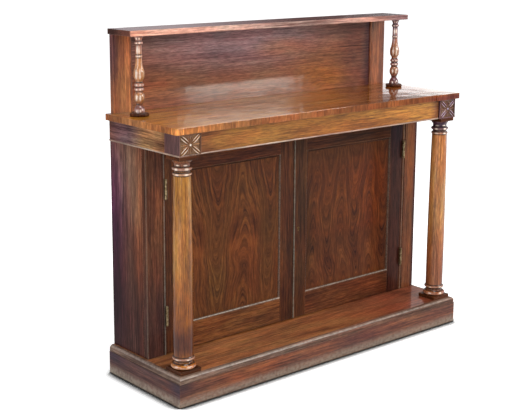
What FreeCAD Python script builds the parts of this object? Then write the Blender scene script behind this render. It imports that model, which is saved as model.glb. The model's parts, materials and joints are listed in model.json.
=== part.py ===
import FreeCAD, Part
import Sketcher
import math
import os

# A Regency chiffonier: a moulded plinth, a shallow two-door cupboard set back behind two
# turned columns, a frieze with carved corner blocks, a top with projecting corners, and a
# low gallery of one shelf on two turned balusters in front of a panelled back.
# Millimetres, +Z up, +X to the viewer's right, the front faces -Y.
# The origin is under the middle of the piece, at floor level.

# name, value, what it is
SIZES = (
    ("plinth_width", 1300.0, "outside width of the plinth"),
    ("plinth_depth", 396.0, "front of the plinth to the back of the whole piece"),
    ("plinth_height", 77.0, "upright face of the plinth"),
    ("plinth_board", 22.0, "thickness of the plinth boards"),
    ("moulding_step", 2.0, "set-in of the moulding from the plinth's face"),
    ("moulding_reach", 14.0, "width of the ovolo moulding"),
    ("moulding_height", 21.0, "height of the moulding and thickness of the base board"),
    ("moulding_flat", 3.0, "flat below the ovolo's curve"),
    ("moulding_bow", 6.0, "rise of the ovolo's curve over its chord"),
    ("carcass_inset", 20.0, "cupboard's sides in from the plinth's ends"),
    ("carcass_depth", 197.0, "pilasters' front to the back of the cupboard"),
    ("carcass_height", 692.0, "base board to the underside of the frieze"),
    ("side_board", 20.0, "thickness of the cupboard's sides"),
    ("back_board", 10.0, "thickness of the cupboard's back boards"),
    ("back_rebate", 10.0, "rebate in the sides that holds the back boards"),
    ("floor_board", 14.0, "thickness of the cupboard's floor and ceiling"),
    ("inner_shelf_board", 18.0, "thickness of the shelf inside"),
    ("inner_shelf_height", 332.0, "base board to the underside of the inner shelf"),
    ("inner_shelf_setback", 12.0, "inner shelf behind the doors' inner faces"),
    ("inner_shelf_housing", 6.0, "depth of the grooves in the sides that hold that shelf"),
    ("pilaster_width", 74.0, "pilaster with its bead"),
    ("pilaster_board", 20.0, "thickness of the pilasters"),
    ("bead_width", 9.0, "bead run down the pilasters' inner edges"),
    ("bead_bow", 2.5, "rise of that bead"),
    ("quirk", 2.0, "groove beside a bead, wide and deep"),
    ("head_rail_drop", 5.0, "head rail below the frieze"),
    ("frieze_overhang", 2.0, "frieze's ends out from the cupboard's sides"),
    ("frieze_height", 69.0, "height of the frieze"),
    ("frieze_board", 22.0, "thickness of the frieze boards"),
    ("frieze_bead", 5.0, "height of the bead along the frieze's lower edge"),
    ("frieze_bead_bow", 2.2, "how far that bead stands out"),
    ("block_width", 84.0, "corner block across the front"),
    ("block_depth", 76.0, "corner block from front to back"),
    ("block_proud", 7.0, "corner block in front of the frieze"),
    ("block_setback", 7.0, "corner block behind the top's projecting corner"),
    ("patera_border", 4.0, "plain edge round the carved field"),
    ("patera_sink", 4.0, "depth of the sunk field"),
    ("patera_ground", 1.5, "thickness of the carving's ground"),
    ("leaf_rise", 3.4, "height of the leaves over the ground"),
    ("leaf_width", 11.0, "width of a diagonal leaf"),
    ("small_leaf_width", 7.0, "width of a leaf between"),
    ("leaf_gap", 2.4, "leaf's tip to the edge of its field"),
    ("boss_radius", 5.5, "round boss at the carving's middle"),
    ("top_overhang", 14.0, "top's ends out from the frieze's"),
    ("top_setback", 11.0, "top's projecting corners behind the plinth's front"),
    ("top_thickness", 21.0, "thickness of the top"),
    ("top_corner", 122.0, "width of the top's projecting corners"),
    ("top_recess", 5.0, "setback of the top's edge between the corners"),
    ("pad_size", 80.0, "square pad under a column"),
    ("pad_height", 12.0, "thickness of that pad"),
    ("abacus_size", 70.0, "square block over a column"),
    ("abacus_height", 13.0, "thickness of that block"),
    ("column_spigot", 11.0, "radius of the spigots on a column's ends"),
    ("column_spigot_length", 10.0, "length of those spigots"),
    ("spigot_clearance", 0.1, "room round and beyond every spigot"),
    ("gallery_height", 254.0, "top to the underside of the shelf"),
    ("gallery_inset", 21.0, "gallery's uprights in from the top's ends"),
    ("upright_width", 74.0, "gallery upright with its bead"),
    ("upright_depth", 18.0, "gallery upright from front to back"),
    ("upright_bead", 5.0, "bead on the uprights' inner edges"),
    ("upright_bead_bow", 1.6, "rise of that bead"),
    ("gallery_panel", 9.0, "thickness of the gallery's back panel"),
    ("gallery_panel_setback", 6.0, "panel behind the uprights' faces"),
    ("shelf_overhang", 7.0, "gallery shelf's ends out from the uprights"),
    ("shelf_depth", 132.0, "depth of the gallery's shelf"),
    ("shelf_thickness", 18.0, "thickness of the gallery's shelf"),
    ("baluster_inset", 44.0, "balusters' middles in from the shelf's ends"),
    ("baluster_setback", 23.0, "balusters' middles behind the shelf's front edge"),
    ("baluster_spigot", 6.0, "radius of the spigots on a baluster's ends"),
    ("baluster_spigot_length", 8.0, "length of those spigots"),
    ("foot_radius", 31.0, "turned disc under a baluster"),
    ("foot_height", 10.0, "thickness of that disc"),
    ("foot_bow", 2.5, "rounding of that disc's rim"),
    ("door_thickness", 20.0, "thickness of the door frames"),
    ("door_recess", 3.0, "doors' faces behind the pilasters' faces"),
    ("door_side_gap", 1.2, "door to pilaster"),
    ("door_meeting_gap", 2.0, "between the two doors"),
    ("door_foot_gap", 3.0, "door to base board"),
    ("door_head_gap", 3.0, "door to head rail"),
    ("door_back_gap", 0.5, "door to the cupboard's floor and ceiling behind it"),
    ("hinge_stile", 66.0, "width of the doors' hinge stiles"),
    ("meeting_stile", 60.0, "width of the doors' meeting stiles"),
    ("top_rail", 77.0, "height of the doors' top rails"),
    ("bottom_rail", 85.0, "height of the doors' bottom rails"),
    ("tenon_length", 26.0, "length of the rails' tenons"),
    ("tenon_thickness", 6.0, "thickness of the rails' tenons"),
    ("tenon_shoulder", 18.0, "tenon in from the rail's outer edge"),
    ("panel_thickness", 8.0, "thickness of the door panels"),
    ("panel_setback", 5.0, "panel behind the door frame's face"),
    ("panel_groove", 8.0, "depth of the groove that holds the panel"),
    ("panel_bead", 7.0, "width of the bead round the panel"),
    ("panel_bead_height", 4.5, "height of the bead over the panel"),
    ("panel_bead_bow", 1.4, "rise of that bead's curve over its chord"),
    ("meeting_bead", 6.0, "width of the bead on the right door's meeting edge"),
    ("meeting_bead_bow", 2.4, "how far that bead stands out"),
    ("hinge_height", 66.0, "length of a butt hinge"),
    ("hinge_end", 97.0, "end of a door to the near end of its hinge"),
    ("hinge_leaf", 16.0, "width of a hinge leaf in the wood"),
    ("hinge_plate", 1.8, "thickness of a hinge leaf"),
    ("barrel_radius", 4.0, "hinge barrel"),
    ("barrel_clearance", 0.3, "barrel to the wood and knuckle to knuckle"),
    ("pin_radius", 2.0, "hinge pin"),
    ("pin_clearance", 0.05, "hinge pin in its knuckles"),
    ("screw_radius", 1.6, "shank of a hinge screw"),
    ("screw_head", 3.4, "radius of a hinge screw's head"),
    ("screw_head_height", 1.7, "height of the screw's countersunk head"),
    ("screw_length", 14.0, "length of a hinge screw"),
    ("screw_spacing", 22.0, "between a hinge's screws"),
    ("lock_height", 430.0, "keyhole above the floor"),
    ("lock_case_width", 48.0, "lock case along the door"),
    ("lock_case_height", 60.0, "height of the lock case"),
    ("lock_case_depth", 12.0, "depth of the lock case, let in from behind"),
    ("lock_wall", 1.5, "wall of the lock case"),
    ("lock_bolt_length", 32.0, "length of the lock bolt"),
    ("lock_bolt_height", 12.0, "height of the lock bolt"),
    ("lock_bolt_thickness", 5.0, "thickness of the lock bolt"),
    ("lock_throw", 9.0, "travel of the lock bolt"),
    ("bolt_clearance", 0.3, "room round the lock bolt and the flush bolts"),
    ("key_inset", 23.0, "keyhole in from the meeting edge"),
    ("keyhole_radius", 2.6, "round part of the keyhole"),
    ("keyhole_slot", 2.4, "width of the keyhole's slot"),
    ("keyhole_drop", 9.0, "length of the keyhole's slot"),
    ("escutcheon_rim", 1.2, "brass rim round the keyhole"),
    ("escutcheon_depth", 3.0, "depth of that rim"),
    ("flush_plate_width", 13.0, "face plate of a flush bolt"),
    ("flush_plate", 1.5, "thickness of that face plate"),
    ("flush_plate_length", 92.0, "length of that face plate"),
    ("flush_bolt_width", 7.0, "width of a flush bolt"),
    ("flush_bolt_thickness", 5.0, "thickness of a flush bolt"),
    ("flush_bolt_length", 72.0, "length of a flush bolt"),
    ("flush_throw", 12.0, "travel of a flush bolt"),
    ("thumb_slot", 26.0, "length of the slot for the thumb piece"),
    ("thumb_piece", 8.0, "height of the thumb piece"),
    ("thumb_width", 3.5, "width of the thumb piece"),
)

# Turned profiles, from the foot up: height above the foot (or below the head, where the
# height is negative), radius, and how far the run to the next point bows out or in.
COLUMN = (
    ("torus", 0.0, 34.5, 6.0),
    ("torus_top", 16.0, 34.5, 0.0),
    ("fillet", 18.0, 32.5, -2.8),
    ("scotia_top", 27.0, 31.5, 0.0),
    ("ring_foot", 28.0, 32.6, 3.4),
    ("ring_top", 37.0, 32.6, 0.0),
    ("shaft_foot", 38.5, 31.6, 1.6),
    ("shaft_head", -50.0, 27.6, 0.0),
    ("astragal_foot", -49.5, 28.0, 2.2),
    ("astragal_top", -40.5, 28.0, 0.0),
    ("lower_neck", -39.5, 25.3, 0.0),
    ("lower_neck_top", -34.0, 25.3, 0.0),
    ("capital_ring", -33.0, 27.6, 4.0),
    ("capital_ring_top", -22.5, 27.6, 0.0),
    ("upper_neck", -21.5, 24.9, 0.0),
    ("upper_neck_top", -16.5, 24.9, -1.4),
    ("flare", -6.0, 30.2, 0.0),
    ("head", 0.0, 30.2, 0.0),
)
BALUSTER = (
    ("bell_foot", 0.0, 17.9, 0.0),
    ("bell", 4.0, 17.9, 2.2),
    ("bell_neck", 24.0, 9.6, 0.0),
    ("vase_foot", 32.0, 11.4, 5.7),
    ("vase_head", 66.0, 11.7, 0.0),
    ("first_ring", 70.0, 12.4, 3.4),
    ("first_ring_top", 81.0, 12.4, 0.0),
    ("groove", 82.5, 11.6, 0.0),
    ("second_ring", 84.0, 12.4, 3.4),
    ("second_ring_top", 95.0, 12.4, 0.0),
    ("waist", 98.0, 11.0, -0.5),
    ("belly_foot", 105.0, 12.4, 1.6),
    ("belly", 121.0, 17.6, 1.4),
    ("taper", -104.0, 14.6, -0.9),
    ("taper_head", -70.0, 10.0, 0.0),
    ("third_ring", -68.0, 10.0, 1.3),
    ("third_ring_top", -60.5, 10.0, 0.0),
    ("shaft_head", -28.0, 9.8, 0.0),
    ("cap_ring", -27.0, 11.0, 2.9),
    ("cap_ring_top", -18.0, 11.0, 0.0),
    ("cap_neck", -16.5, 10.2, -1.0),
    ("cap", -4.0, 14.2, 0.0),
    ("head", 0.0, 14.2, 0.0),
)

BACK_BOARDS = 3
KNUCKLES = 5
LEAF_WIDEST = 0.6  # how far along a carved leaf it is widest, as a share of its length
LEAF_RIDGE = 0.25  # size of the flat on a leaf's crest, as a share of the leaf

doc = FreeCAD.newDocument("chiffonier")
sheet = doc.addObject("Spreadsheet::Sheet", "sizes")
nodes = []


class Size:
    """A length with both its number and the spreadsheet expression that gives it."""

    def __init__(self, value, text):
        self.value = float(value)
        self.text = text

    def __add__(self, other):
        other = size(other)
        return Size(self.value + other.value, f"({self.text} + {other.text})")

    def __sub__(self, other):
        other = size(other)
        return Size(self.value - other.value, f"({self.text} - {other.text})")

    def __mul__(self, other):
        other = size(other)
        return Size(self.value * other.value, f"({self.text} * {other.text})")

    def __truediv__(self, other):
        other = size(other)
        return Size(self.value / other.value, f"({self.text} / {other.text})")

    def __neg__(self):
        return Size(-self.value, f"(0 - {self.text})")

    __radd__ = __add__
    __rmul__ = __mul__

    def __rsub__(self, other):
        return size(other) - self


def size(value):
    """A plain number as a Size, and a Size as it is."""
    return value if isinstance(value, Size) else Size(value, repr(float(value)))


class Sizes:
    """The sheet's cells by name."""


def fill_sheet():
    """Write every driving size into the sheet, and return them by name."""
    rows = [(name, value, note) for name, value, note in SIZES]
    for piece, stations in (("column", COLUMN), ("baluster", BALUSTER)):
        for name, height, radius, bow in stations:
            rows.append((f"{piece}_{name}_at", height, "height"))
            rows.append((f"{piece}_{name}_radius", radius, "radius"))
            if bow:
                rows.append((f"{piece}_{name}_bow", bow, "bow"))
    for row, (name, value, note) in enumerate(rows, start=1):
        sheet.set(f"A{row}", name)
        sheet.set(f"B{row}", repr(value))
        sheet.set(f"C{row}", note)
        sheet.setAlias(f"B{row}", name)
    doc.recompute()
    named = Sizes()
    for name, _, _ in rows:
        setattr(named, name, Size(sheet.get(name), f"sizes.{name}"))
    return named


def bind(thing, prop, value):
    """Tie a property to its expression."""
    thing.setExpression(prop, size(value).text)


def place(thing, x=0.0, y=0.0, z=0.0):
    """Tie a thing's place to its expressions, and leave its turn as it is."""
    for axis, value in zip("xyz", (x, y, z)):
        bind(thing, f"Placement.Base.{axis}", value)
    return thing


def turn_about(thing, axis, degrees):
    """Turn a thing about an axis through its own origin."""
    thing.Placement = FreeCAD.Placement(thing.Placement.Base, FreeCAD.Rotation(axis, degrees))
    return thing


def node(thing, label):
    """Name a finished sub-part."""
    thing.Label = label
    nodes.append(thing)
    return thing


def box(name, x, y, z):
    """A block between pairs of coordinates."""
    block = doc.addObject("Part::Box", name)
    for prop, (low, high) in zip(("Length", "Width", "Height"), (x, y, z)):
        bind(block, prop, size(high) - low)
    return place(block, x[0], y[0], z[0])


def cylinder(name, radius, length, x, y, z):
    """An upright cylinder on the point given."""
    drum = doc.addObject("Part::Cylinder", name)
    bind(drum, "Radius", radius)
    bind(drum, "Height", length)
    return place(drum, x, y, z)


def fuse(name, *things):
    whole = doc.addObject("Part::MultiFuse", name)
    whole.Shapes = list(things)
    return whole


def cut(name, base, *tools):
    rest = doc.addObject("Part::Cut", name)
    rest.Base = base
    rest.Tool = tools[0] if len(tools) == 1 else fuse(name + "_tools", *tools)
    return rest


def common(name, first, second):
    shared = doc.addObject("Part::Common", name)
    shared.Base = first
    shared.Tool = second
    return shared


def group(name, *things):
    """Separate solids that share one node."""
    several = doc.addObject("Part::Compound", name)
    several.Links = list(things)
    return several


def mirrored(name, source):
    """The same piece on the left-hand side."""
    image = doc.addObject("Part::Mirroring", name)
    image.Source = source
    image.Normal = FreeCAD.Vector(1, 0, 0)
    return image


def both(label, right):
    """A pair of like pieces, left and right, in one node."""
    return node(group(label, right, mirrored(label + "_left_hand", right)), label)


def pair(label, right):
    """A right-hand piece and its mirror image, each a node of its own."""
    node(right, label + "_right")
    return node(mirrored(label + "_left", right), label + "_left")


def add_edge(sketch, start, end, bow):
    """Draw one edge, and return its index and which of its ends is its start."""
    first = FreeCAD.Vector(start[0].value, start[1].value, 0)
    last = FreeCAD.Vector(end[0].value, end[1].value, 0)
    if bow is None:
        return sketch.addGeometry(Part.LineSegment(first, last), False), 1
    chord = last - first
    outward = FreeCAD.Vector(chord.y, -chord.x, 0).normalize() * math.copysign(1, bow.value)
    rise = abs(bow.value)
    radius = (chord.Length ** 2 / 4 + rise ** 2) / (2 * rise)
    centre = (first + last) * 0.5 - outward * (radius - rise)
    ends = (first, last) if bow.value > 0 else (last, first)
    angles = [math.atan2(end.y - centre.y, end.x - centre.x) for end in ends]
    if angles[1] < angles[0]:
        angles[1] += 2 * math.pi
    circle = Part.Circle(centre, FreeCAD.Vector(0, 0, 1), radius)
    edge = sketch.addGeometry(Part.ArcOfCircle(circle, *angles), False)
    return edge, 1 if bow.value > 0 else 2


def bow_radius(start, end, bow):
    """The radius of an arc over a chord, from the chord's ends and the arc's rise."""
    run = end[0] - start[0]
    lift = end[1] - start[1]
    return ((run * run + lift * lift) / 4 + bow * bow) / (2 * bow)


def constrain(sketch, *terms):
    """Add a constraint and return its index."""
    return sketch.addConstraint(Sketcher.Constraint(*terms))


def outline(body, role, points):
    """A closed outline, anticlockwise, on one of a body's own origin planes. Each point is
    (across, up) or (across, up, bow), where the bow is that of the edge to the next point."""
    sketch = body.newObject("Sketcher::SketchObject", body.Name + "_outline")
    plane = next(item for item in body.Origin.OriginFeatures if item.Role == role)
    sketch.AttachmentSupport = [(plane, "")]
    sketch.MapMode = "FlatFace"
    corners = [(size(point[0]), size(point[1])) for point in points]
    bows = [size(point[2]) if len(point) > 2 else None for point in points]
    count = len(corners)
    edges = [add_edge(sketch, corners[i], corners[(i + 1) % count], bows[i]) for i in range(count)]
    for i, (edge, first) in enumerate(edges):
        following, following_first = edges[(i + 1) % count]
        constrain(sketch, "Coincident", edge, 3 - first, following, following_first)
    for i, (edge, first) in enumerate(edges):
        for kind, value, axis in zip(("DistanceX", "DistanceY"), corners[i], (-2, -1)):
            if value.value == 0.0:
                constrain(sketch, "PointOnObject", edge, first, axis)
                continue
            index = constrain(sketch, kind, -1, 1, edge, first, value.value)
            sketch.setExpression(f"Constraints[{index}]", value.text)
        if bows[i] is not None:
            radius = bow_radius(corners[i], corners[(i + 1) % count], bows[i])
            if bows[i].value < 0:
                radius = -radius
            index = constrain(sketch, "Radius", edge, radius.value)
            sketch.setExpression(f"Constraints[{index}]", radius.text)
    return sketch


def extruded(name, role, points, length):
    """A body of one outline and one straight pad."""
    body = doc.addObject("PartDesign::Body", name)
    sketch = outline(body, role, points)
    pad = body.newObject("PartDesign::Pad", name + "_pad")
    pad.Profile = sketch
    bind(pad, "Length", length)
    return body


def turned(name, points):
    """A body turned about its own upright axis."""
    body = doc.addObject("PartDesign::Body", name)
    sketch = outline(body, "XZ_Plane", points)
    turning = body.newObject("PartDesign::Revolution", name + "_turning")
    turning.Profile = sketch
    turning.ReferenceAxis = (sketch, ["V_Axis"])
    turning.Angle = 360.0
    return body


def turned_profile(piece, stations, length, spigot, foot_spigot, head_spigot):
    """A turned piece's half outline: a spigot, the named stations, and a second spigot."""
    points = [(0.0, -foot_spigot), (spigot, -foot_spigot), (spigot, 0.0)]
    for name, height, radius, bow in stations:
        up = getattr(s, f"{piece}_{name}_at")
        if height < 0 or name == "head":
            up = up + length
        point = [getattr(s, f"{piece}_{name}_radius"), up]
        if bow:
            point.append(getattr(s, f"{piece}_{name}_bow"))
        points.append(tuple(point))
    head = length + head_spigot
    return points + [(spigot, length), (spigot, head), (0.0, head)]


def mitred(name, points, length, width, height, mitres):
    """A strip along X with its outer edge at y = 0, mitred at the ends asked for."""
    strip = extruded(name + "_strip", "YZ_Plane", points, length)
    wedge = doc.addObject("Part::Wedge", name + "_mitre")
    ends = {"Xmin": 0.0, "Ymin": 0.0, "Zmin": 0.0, "Z2min": 0.0, "X2min": width * mitres[0],
            "Xmax": length, "Ymax": width, "Zmax": height, "Z2max": height,
            "X2max": length - width * mitres[1]}
    for prop, value in ends.items():
        bind(wedge, prop, value)
    return common(name, strip, wedge)


s = fill_sheet()
X_AXIS, Y_AXIS, Z_AXIS = FreeCAD.Vector(1, 0, 0), FreeCAD.Vector(0, 1, 0), FreeCAD.Vector(0, 0, 1)

# Faces and levels that several pieces share
half_plinth = s.plinth_width / 2
back = s.plinth_depth / 2
front = -back
base_top = s.plinth_height + s.moulding_height
base_half = half_plinth - s.moulding_step - s.moulding_reach
base_front = front + s.moulding_step + s.moulding_reach
carcass_half = half_plinth - s.carcass_inset
carcass_front = back - s.carcass_depth
inside_half = carcass_half - s.side_board
inside_back = back - s.back_board
opening_half = carcass_half - s.pilaster_width
frieze_half = carcass_half + s.frieze_overhang
frieze_foot = base_top + s.carcass_height
frieze_head = frieze_foot + s.frieze_height
top_half = frieze_half + s.top_overhang
top_front = front + s.top_setback
top_face = frieze_head + s.top_thickness
block_front = top_front + s.block_setback
block_back = block_front + s.block_depth
frieze_front = block_front + s.block_proud
column_x = base_half - s.pad_size / 2
column_y = base_front + s.pad_size / 2
gallery_half = top_half - s.gallery_inset
shelf_foot = top_face + s.gallery_height
shelf_half = gallery_half + s.shelf_overhang
shelf_front = back - s.shelf_depth
baluster_x = shelf_half - s.baluster_inset
baluster_y = shelf_front + s.baluster_setback
door_front = carcass_front + s.door_recess
door_back = door_front + s.door_thickness
door_middle = door_front + s.door_thickness / 2
door_foot = base_top + s.door_foot_gap
head_rail_foot = frieze_foot - s.head_rail_drop
door_head = head_rail_foot - s.door_head_gap
door_inner = s.door_meeting_gap / 2
door_outer = opening_half - s.door_side_gap
behind_doors = door_back + s.door_back_gap
hinge_x = opening_half - s.door_side_gap / 2
hinge_y = carcass_front - s.barrel_clearance - s.barrel_radius
hinge_feet = (door_foot + s.hinge_end, door_head - s.hinge_end - s.hinge_height)


def centred(middle, width):
    """The two coordinates of something so wide about its middle."""
    return middle - width / 2, middle + width / 2


def build_plinth():
    """Four boards, mitred at the two front corners."""
    board = s.plinth_board
    front_board = doc.addObject("Part::Wedge", "plinth_front_board")
    side_board = doc.addObject("Part::Wedge", "plinth_side_board")
    lengths = ((front_board, s.plinth_width, 1), (side_board, s.plinth_depth, 0))
    for wedge, length, mitres in lengths:
        ends = {"Xmin": 0.0, "Ymin": 0.0, "Zmin": 0.0, "Z2min": 0.0, "X2min": board,
                "Xmax": length, "X2max": length - board * mitres,
                "Ymax": board, "Zmax": s.plinth_height, "Z2max": s.plinth_height}
        for prop, value in ends.items():
            bind(wedge, prop, value)
    place(front_board, -half_plinth, front)
    place(turn_about(side_board, Z_AXIS, 90), half_plinth, front)
    node(front_board, "plinth_front")
    pair("plinth_side", side_board)
    inner = half_plinth - board
    node(box("plinth_back_board", (-inner, inner), (back - board, back), (0, s.plinth_height)),
         "plinth_back")


def build_base(bolt_hole):
    """The board on the plinth, and the ovolo moulding round its front and ends."""
    board = box("base_blank", (-base_half, base_half), (base_front, back),
                (s.plinth_height, base_top))
    node(cut("base_bored", board, bolt_hole), "base_board")
    reach, height = s.moulding_reach, s.moulding_height
    ovolo = [(0.0, 0.0), (reach, 0.0), (reach, height, s.moulding_bow), (0.0, s.moulding_flat)]
    outer = half_plinth - s.moulding_step
    length = s.plinth_width - s.moulding_step * 2
    along = mitred("front_moulding", ovolo, length, reach, height, (1, 1))
    place(along, -outer, front + s.moulding_step, s.plinth_height)
    length = s.plinth_depth - s.moulding_step
    end = turn_about(mitred("end_moulding", ovolo, length, reach, height, (1, 0)), Z_AXIS, 90)
    place(end, outer, front + s.moulding_step, s.plinth_height)
    node(group("mouldings", along, end, mirrored("end_moulding_left", end)), "base_mouldings")


def beaded_board(name, inner, outer, face, rear, bead, bow, height):
    """An upright board with a bead and a quirk run down its inner edge."""
    shoulder = face + bow
    groove = shoulder + s.quirk
    points = [(inner, shoulder, bow), (inner + bead, shoulder), (inner + bead, groove),
              (inner + bead + s.quirk, groove), (inner + bead + s.quirk, face),
              (outer, face), (outer, rear), (inner, rear)]
    return extruded(name, "XY_Plane", points, height)


def build_carcass(frame_plates, frame_screws, bolt_hole):
    """The cupboard's sides, pilasters, head rail, floor, ceiling, shelf and back."""
    upright = (base_top, frieze_foot)
    pilaster_back = carcass_front + s.pilaster_board
    shelf_foot_inside = base_top + s.inner_shelf_height
    inner_shelf_half = inside_half + s.inner_shelf_housing
    shelf = box("inner_shelf_board", (-inner_shelf_half, inner_shelf_half),
                (door_back + s.inner_shelf_setback, inside_back),
                (shelf_foot_inside, shelf_foot_inside + s.inner_shelf_board))
    node(shelf, "inner_shelf")
    side = box("side_blank", (inside_half, carcass_half), (pilaster_back, back), upright)
    rebate = box("back_rebate", (inside_half, inside_half + s.back_rebate),
                 (inside_back, back), upright)
    pair("cupboard_side", cut("side_housed", side, rebate, shelf))
    pilaster = beaded_board("pilaster_blank", opening_half, carcass_half, carcass_front,
                            pilaster_back, s.bead_width, s.bead_bow, s.carcass_height)
    place(pilaster, z=base_top)
    pair("pilaster", cut("pilaster_let_in", pilaster, *frame_plates, frame_screws))
    rail = box("head_rail_blank", (-opening_half, opening_half), (carcass_front, pilaster_back),
               (head_rail_foot, frieze_head))
    node(cut("head_rail_bored", rail, bolt_hole), "head_rail")
    across, deep = (-inside_half, inside_half), (behind_doors, inside_back)
    node(box("floor_board", across, deep, (base_top, base_top + s.floor_board)),
         "cupboard_floor")
    node(box("ceiling_board", across, deep, (frieze_foot - s.floor_board, frieze_foot)),
         "cupboard_ceiling")
    back_half = inside_half + s.back_rebate
    width = back_half * 2 / BACK_BOARDS
    edges = [width * i - back_half for i in range(BACK_BOARDS)]
    node(group("back", *[box(f"back_board_{i + 1}", (edge, edge + width), (inside_back, back),
                             upright) for i, edge in enumerate(edges)]), "back_boards")


def build_frieze():
    """The frieze boards, the bead along their lower edge and the corner blocks."""
    tall = (frieze_foot, frieze_head)
    block_inner = frieze_half - s.block_width
    inner = frieze_half - s.frieze_board
    node(box("frieze_front_board", (-block_inner, block_inner),
             (frieze_front, frieze_front + s.frieze_board), tall), "frieze_front")
    pair("frieze_side", box("frieze_side_board", (inner, frieze_half), (block_back, back), tall))
    node(box("frieze_back_board", (-inner, inner), (back - s.frieze_board, back), tall),
         "frieze_back")
    bow = s.frieze_bead_bow
    half_round = [(bow, 0.0), (bow, s.frieze_bead, bow)]
    along = extruded("front_bead", "YZ_Plane", half_round, block_inner * 2)
    place(along, -block_inner, frieze_front - bow, frieze_foot)
    end = extruded("end_bead", "YZ_Plane", half_round, back - block_front)
    place(turn_about(end, Z_AXIS, 90), frieze_half + bow, block_front, frieze_foot)
    node(group("beads", along, end, mirrored("end_bead_left", end)), "frieze_beads")
    block = box("block_blank", (block_inner, frieze_half), (block_front, block_back), tall)
    border = s.patera_border
    field_x = (block_inner + border, frieze_half - border)
    field_z = (frieze_foot + border, frieze_head - border)
    field_back = block_front + s.patera_sink
    field = box("field", field_x, (block_front, field_back), field_z)
    pair("corner_block", cut("block_sunk", block, field))
    build_paterae(field_x, field_back, field_z)


def leaf(inner, outer, width, rise):
    """A pointed leaf along X on the plane y = 0, rising towards -Y to a narrow ridge."""
    def kite(shrink, level):
        middle = inner + (outer - inner) * LEAF_WIDEST
        reach = (inner - middle, outer - middle)
        corners = [(middle + reach[0] * shrink, 0.0), (middle, -width / 2 * shrink),
                   (middle + reach[1] * shrink, 0.0), (middle, width / 2 * shrink)]
        return Part.makePolygon([FreeCAD.Vector(x, -level, z) for x, z in corners + corners[:1]])
    return Part.makeLoft([kite(1.0, 0.0), kite(LEAF_RIDGE, rise)], True, True)


def build_paterae(field_x, field_back, field_z):
    """The carving on a block: four long diagonal leaves, four short ones and a round boss."""
    width = (field_x[1] - field_x[0]).value
    height = (field_z[1] - field_z[0]).value
    boss, rise = s.boss_radius.value, s.leaf_rise.value
    solid = Part.makeBox(width, s.patera_ground.value, height,
                         FreeCAD.Vector(-width / 2, -s.patera_ground.value, -height / 2))
    face = FreeCAD.Vector(0, -s.patera_ground.value, 0)
    slope = math.degrees(math.atan2(height, width))
    reach = math.hypot(width, height) / 2
    turns = [(angle, reach, s.leaf_width.value) for angle in (slope, 180 - slope)]
    turns += [(angle + 180, length, wide) for angle, length, wide in turns]
    turns += [(angle, width / 2, s.small_leaf_width.value) for angle in (0, 180)]
    turns += [(angle, height / 2, s.small_leaf_width.value) for angle in (90, 270)]
    leaves = []
    for angle, length, wide in turns:
        one = leaf(boss / 2, length - s.leaf_gap.value, wide, rise)
        one.rotate(FreeCAD.Vector(), FreeCAD.Vector(0, -1, 0), angle)
        one.translate(face)
        leaves.append(one)
    knob = Part.makeSphere(boss)
    knob.translate(face + FreeCAD.Vector(0, boss - rise - s.patera_ground.value, 0))
    room = Part.makeBox(width, boss + rise, height,
                        FreeCAD.Vector(-width / 2, -boss - rise, -height / 2))
    solid = solid.fuse(leaves + [knob.common(room)]).removeSplitter()
    carving = doc.addObject("Part::Feature", "carving")
    carving.Shape = solid
    place(carving, (field_x[0] + field_x[1]) / 2, field_back, (field_z[0] + field_z[1]) / 2)
    both("paterae", carving)


def build_top(baluster_holes):
    """The top, its edge set back between the two projecting corners."""
    inner = top_half - s.top_corner
    edge = top_front + s.top_recess
    points = [(-top_half, top_front), (-inner, top_front), (-inner, edge), (inner, edge),
              (inner, top_front), (top_half, top_front), (top_half, back), (-top_half, back)]
    board = place(extruded("top_blank", "XY_Plane", points, s.top_thickness), z=frieze_head)
    node(cut("top_bored", board, baluster_holes), "main_top")


def build_columns():
    """Turned columns, each spigoted into a square pad below and an abacus above."""
    foot = base_top + s.pad_height
    head = frieze_foot - s.abacus_height
    length = s.column_spigot_length
    hole = s.column_spigot + s.spigot_clearance
    deep = length + s.spigot_clearance
    pad = box("pad_blank", centred(column_x, s.pad_size), centred(column_y, s.pad_size),
              (base_top, foot))
    bore = cylinder("pad_bore", hole, deep, column_x, column_y, foot - deep)
    both("column_pads", cut("pad_bored", pad, bore))
    abacus = box("abacus_blank", centred(column_x, s.abacus_size),
                 centred(column_y, s.abacus_size), (head, frieze_foot))
    bore = cylinder("abacus_bore", hole, deep, column_x, column_y, head)
    both("column_abaci", cut("abacus_bored", abacus, bore))
    points = turned_profile("column", COLUMN, head - foot, s.column_spigot, length, length)
    pair("column", place(turned("column_turned", points), column_x, column_y, foot))


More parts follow.
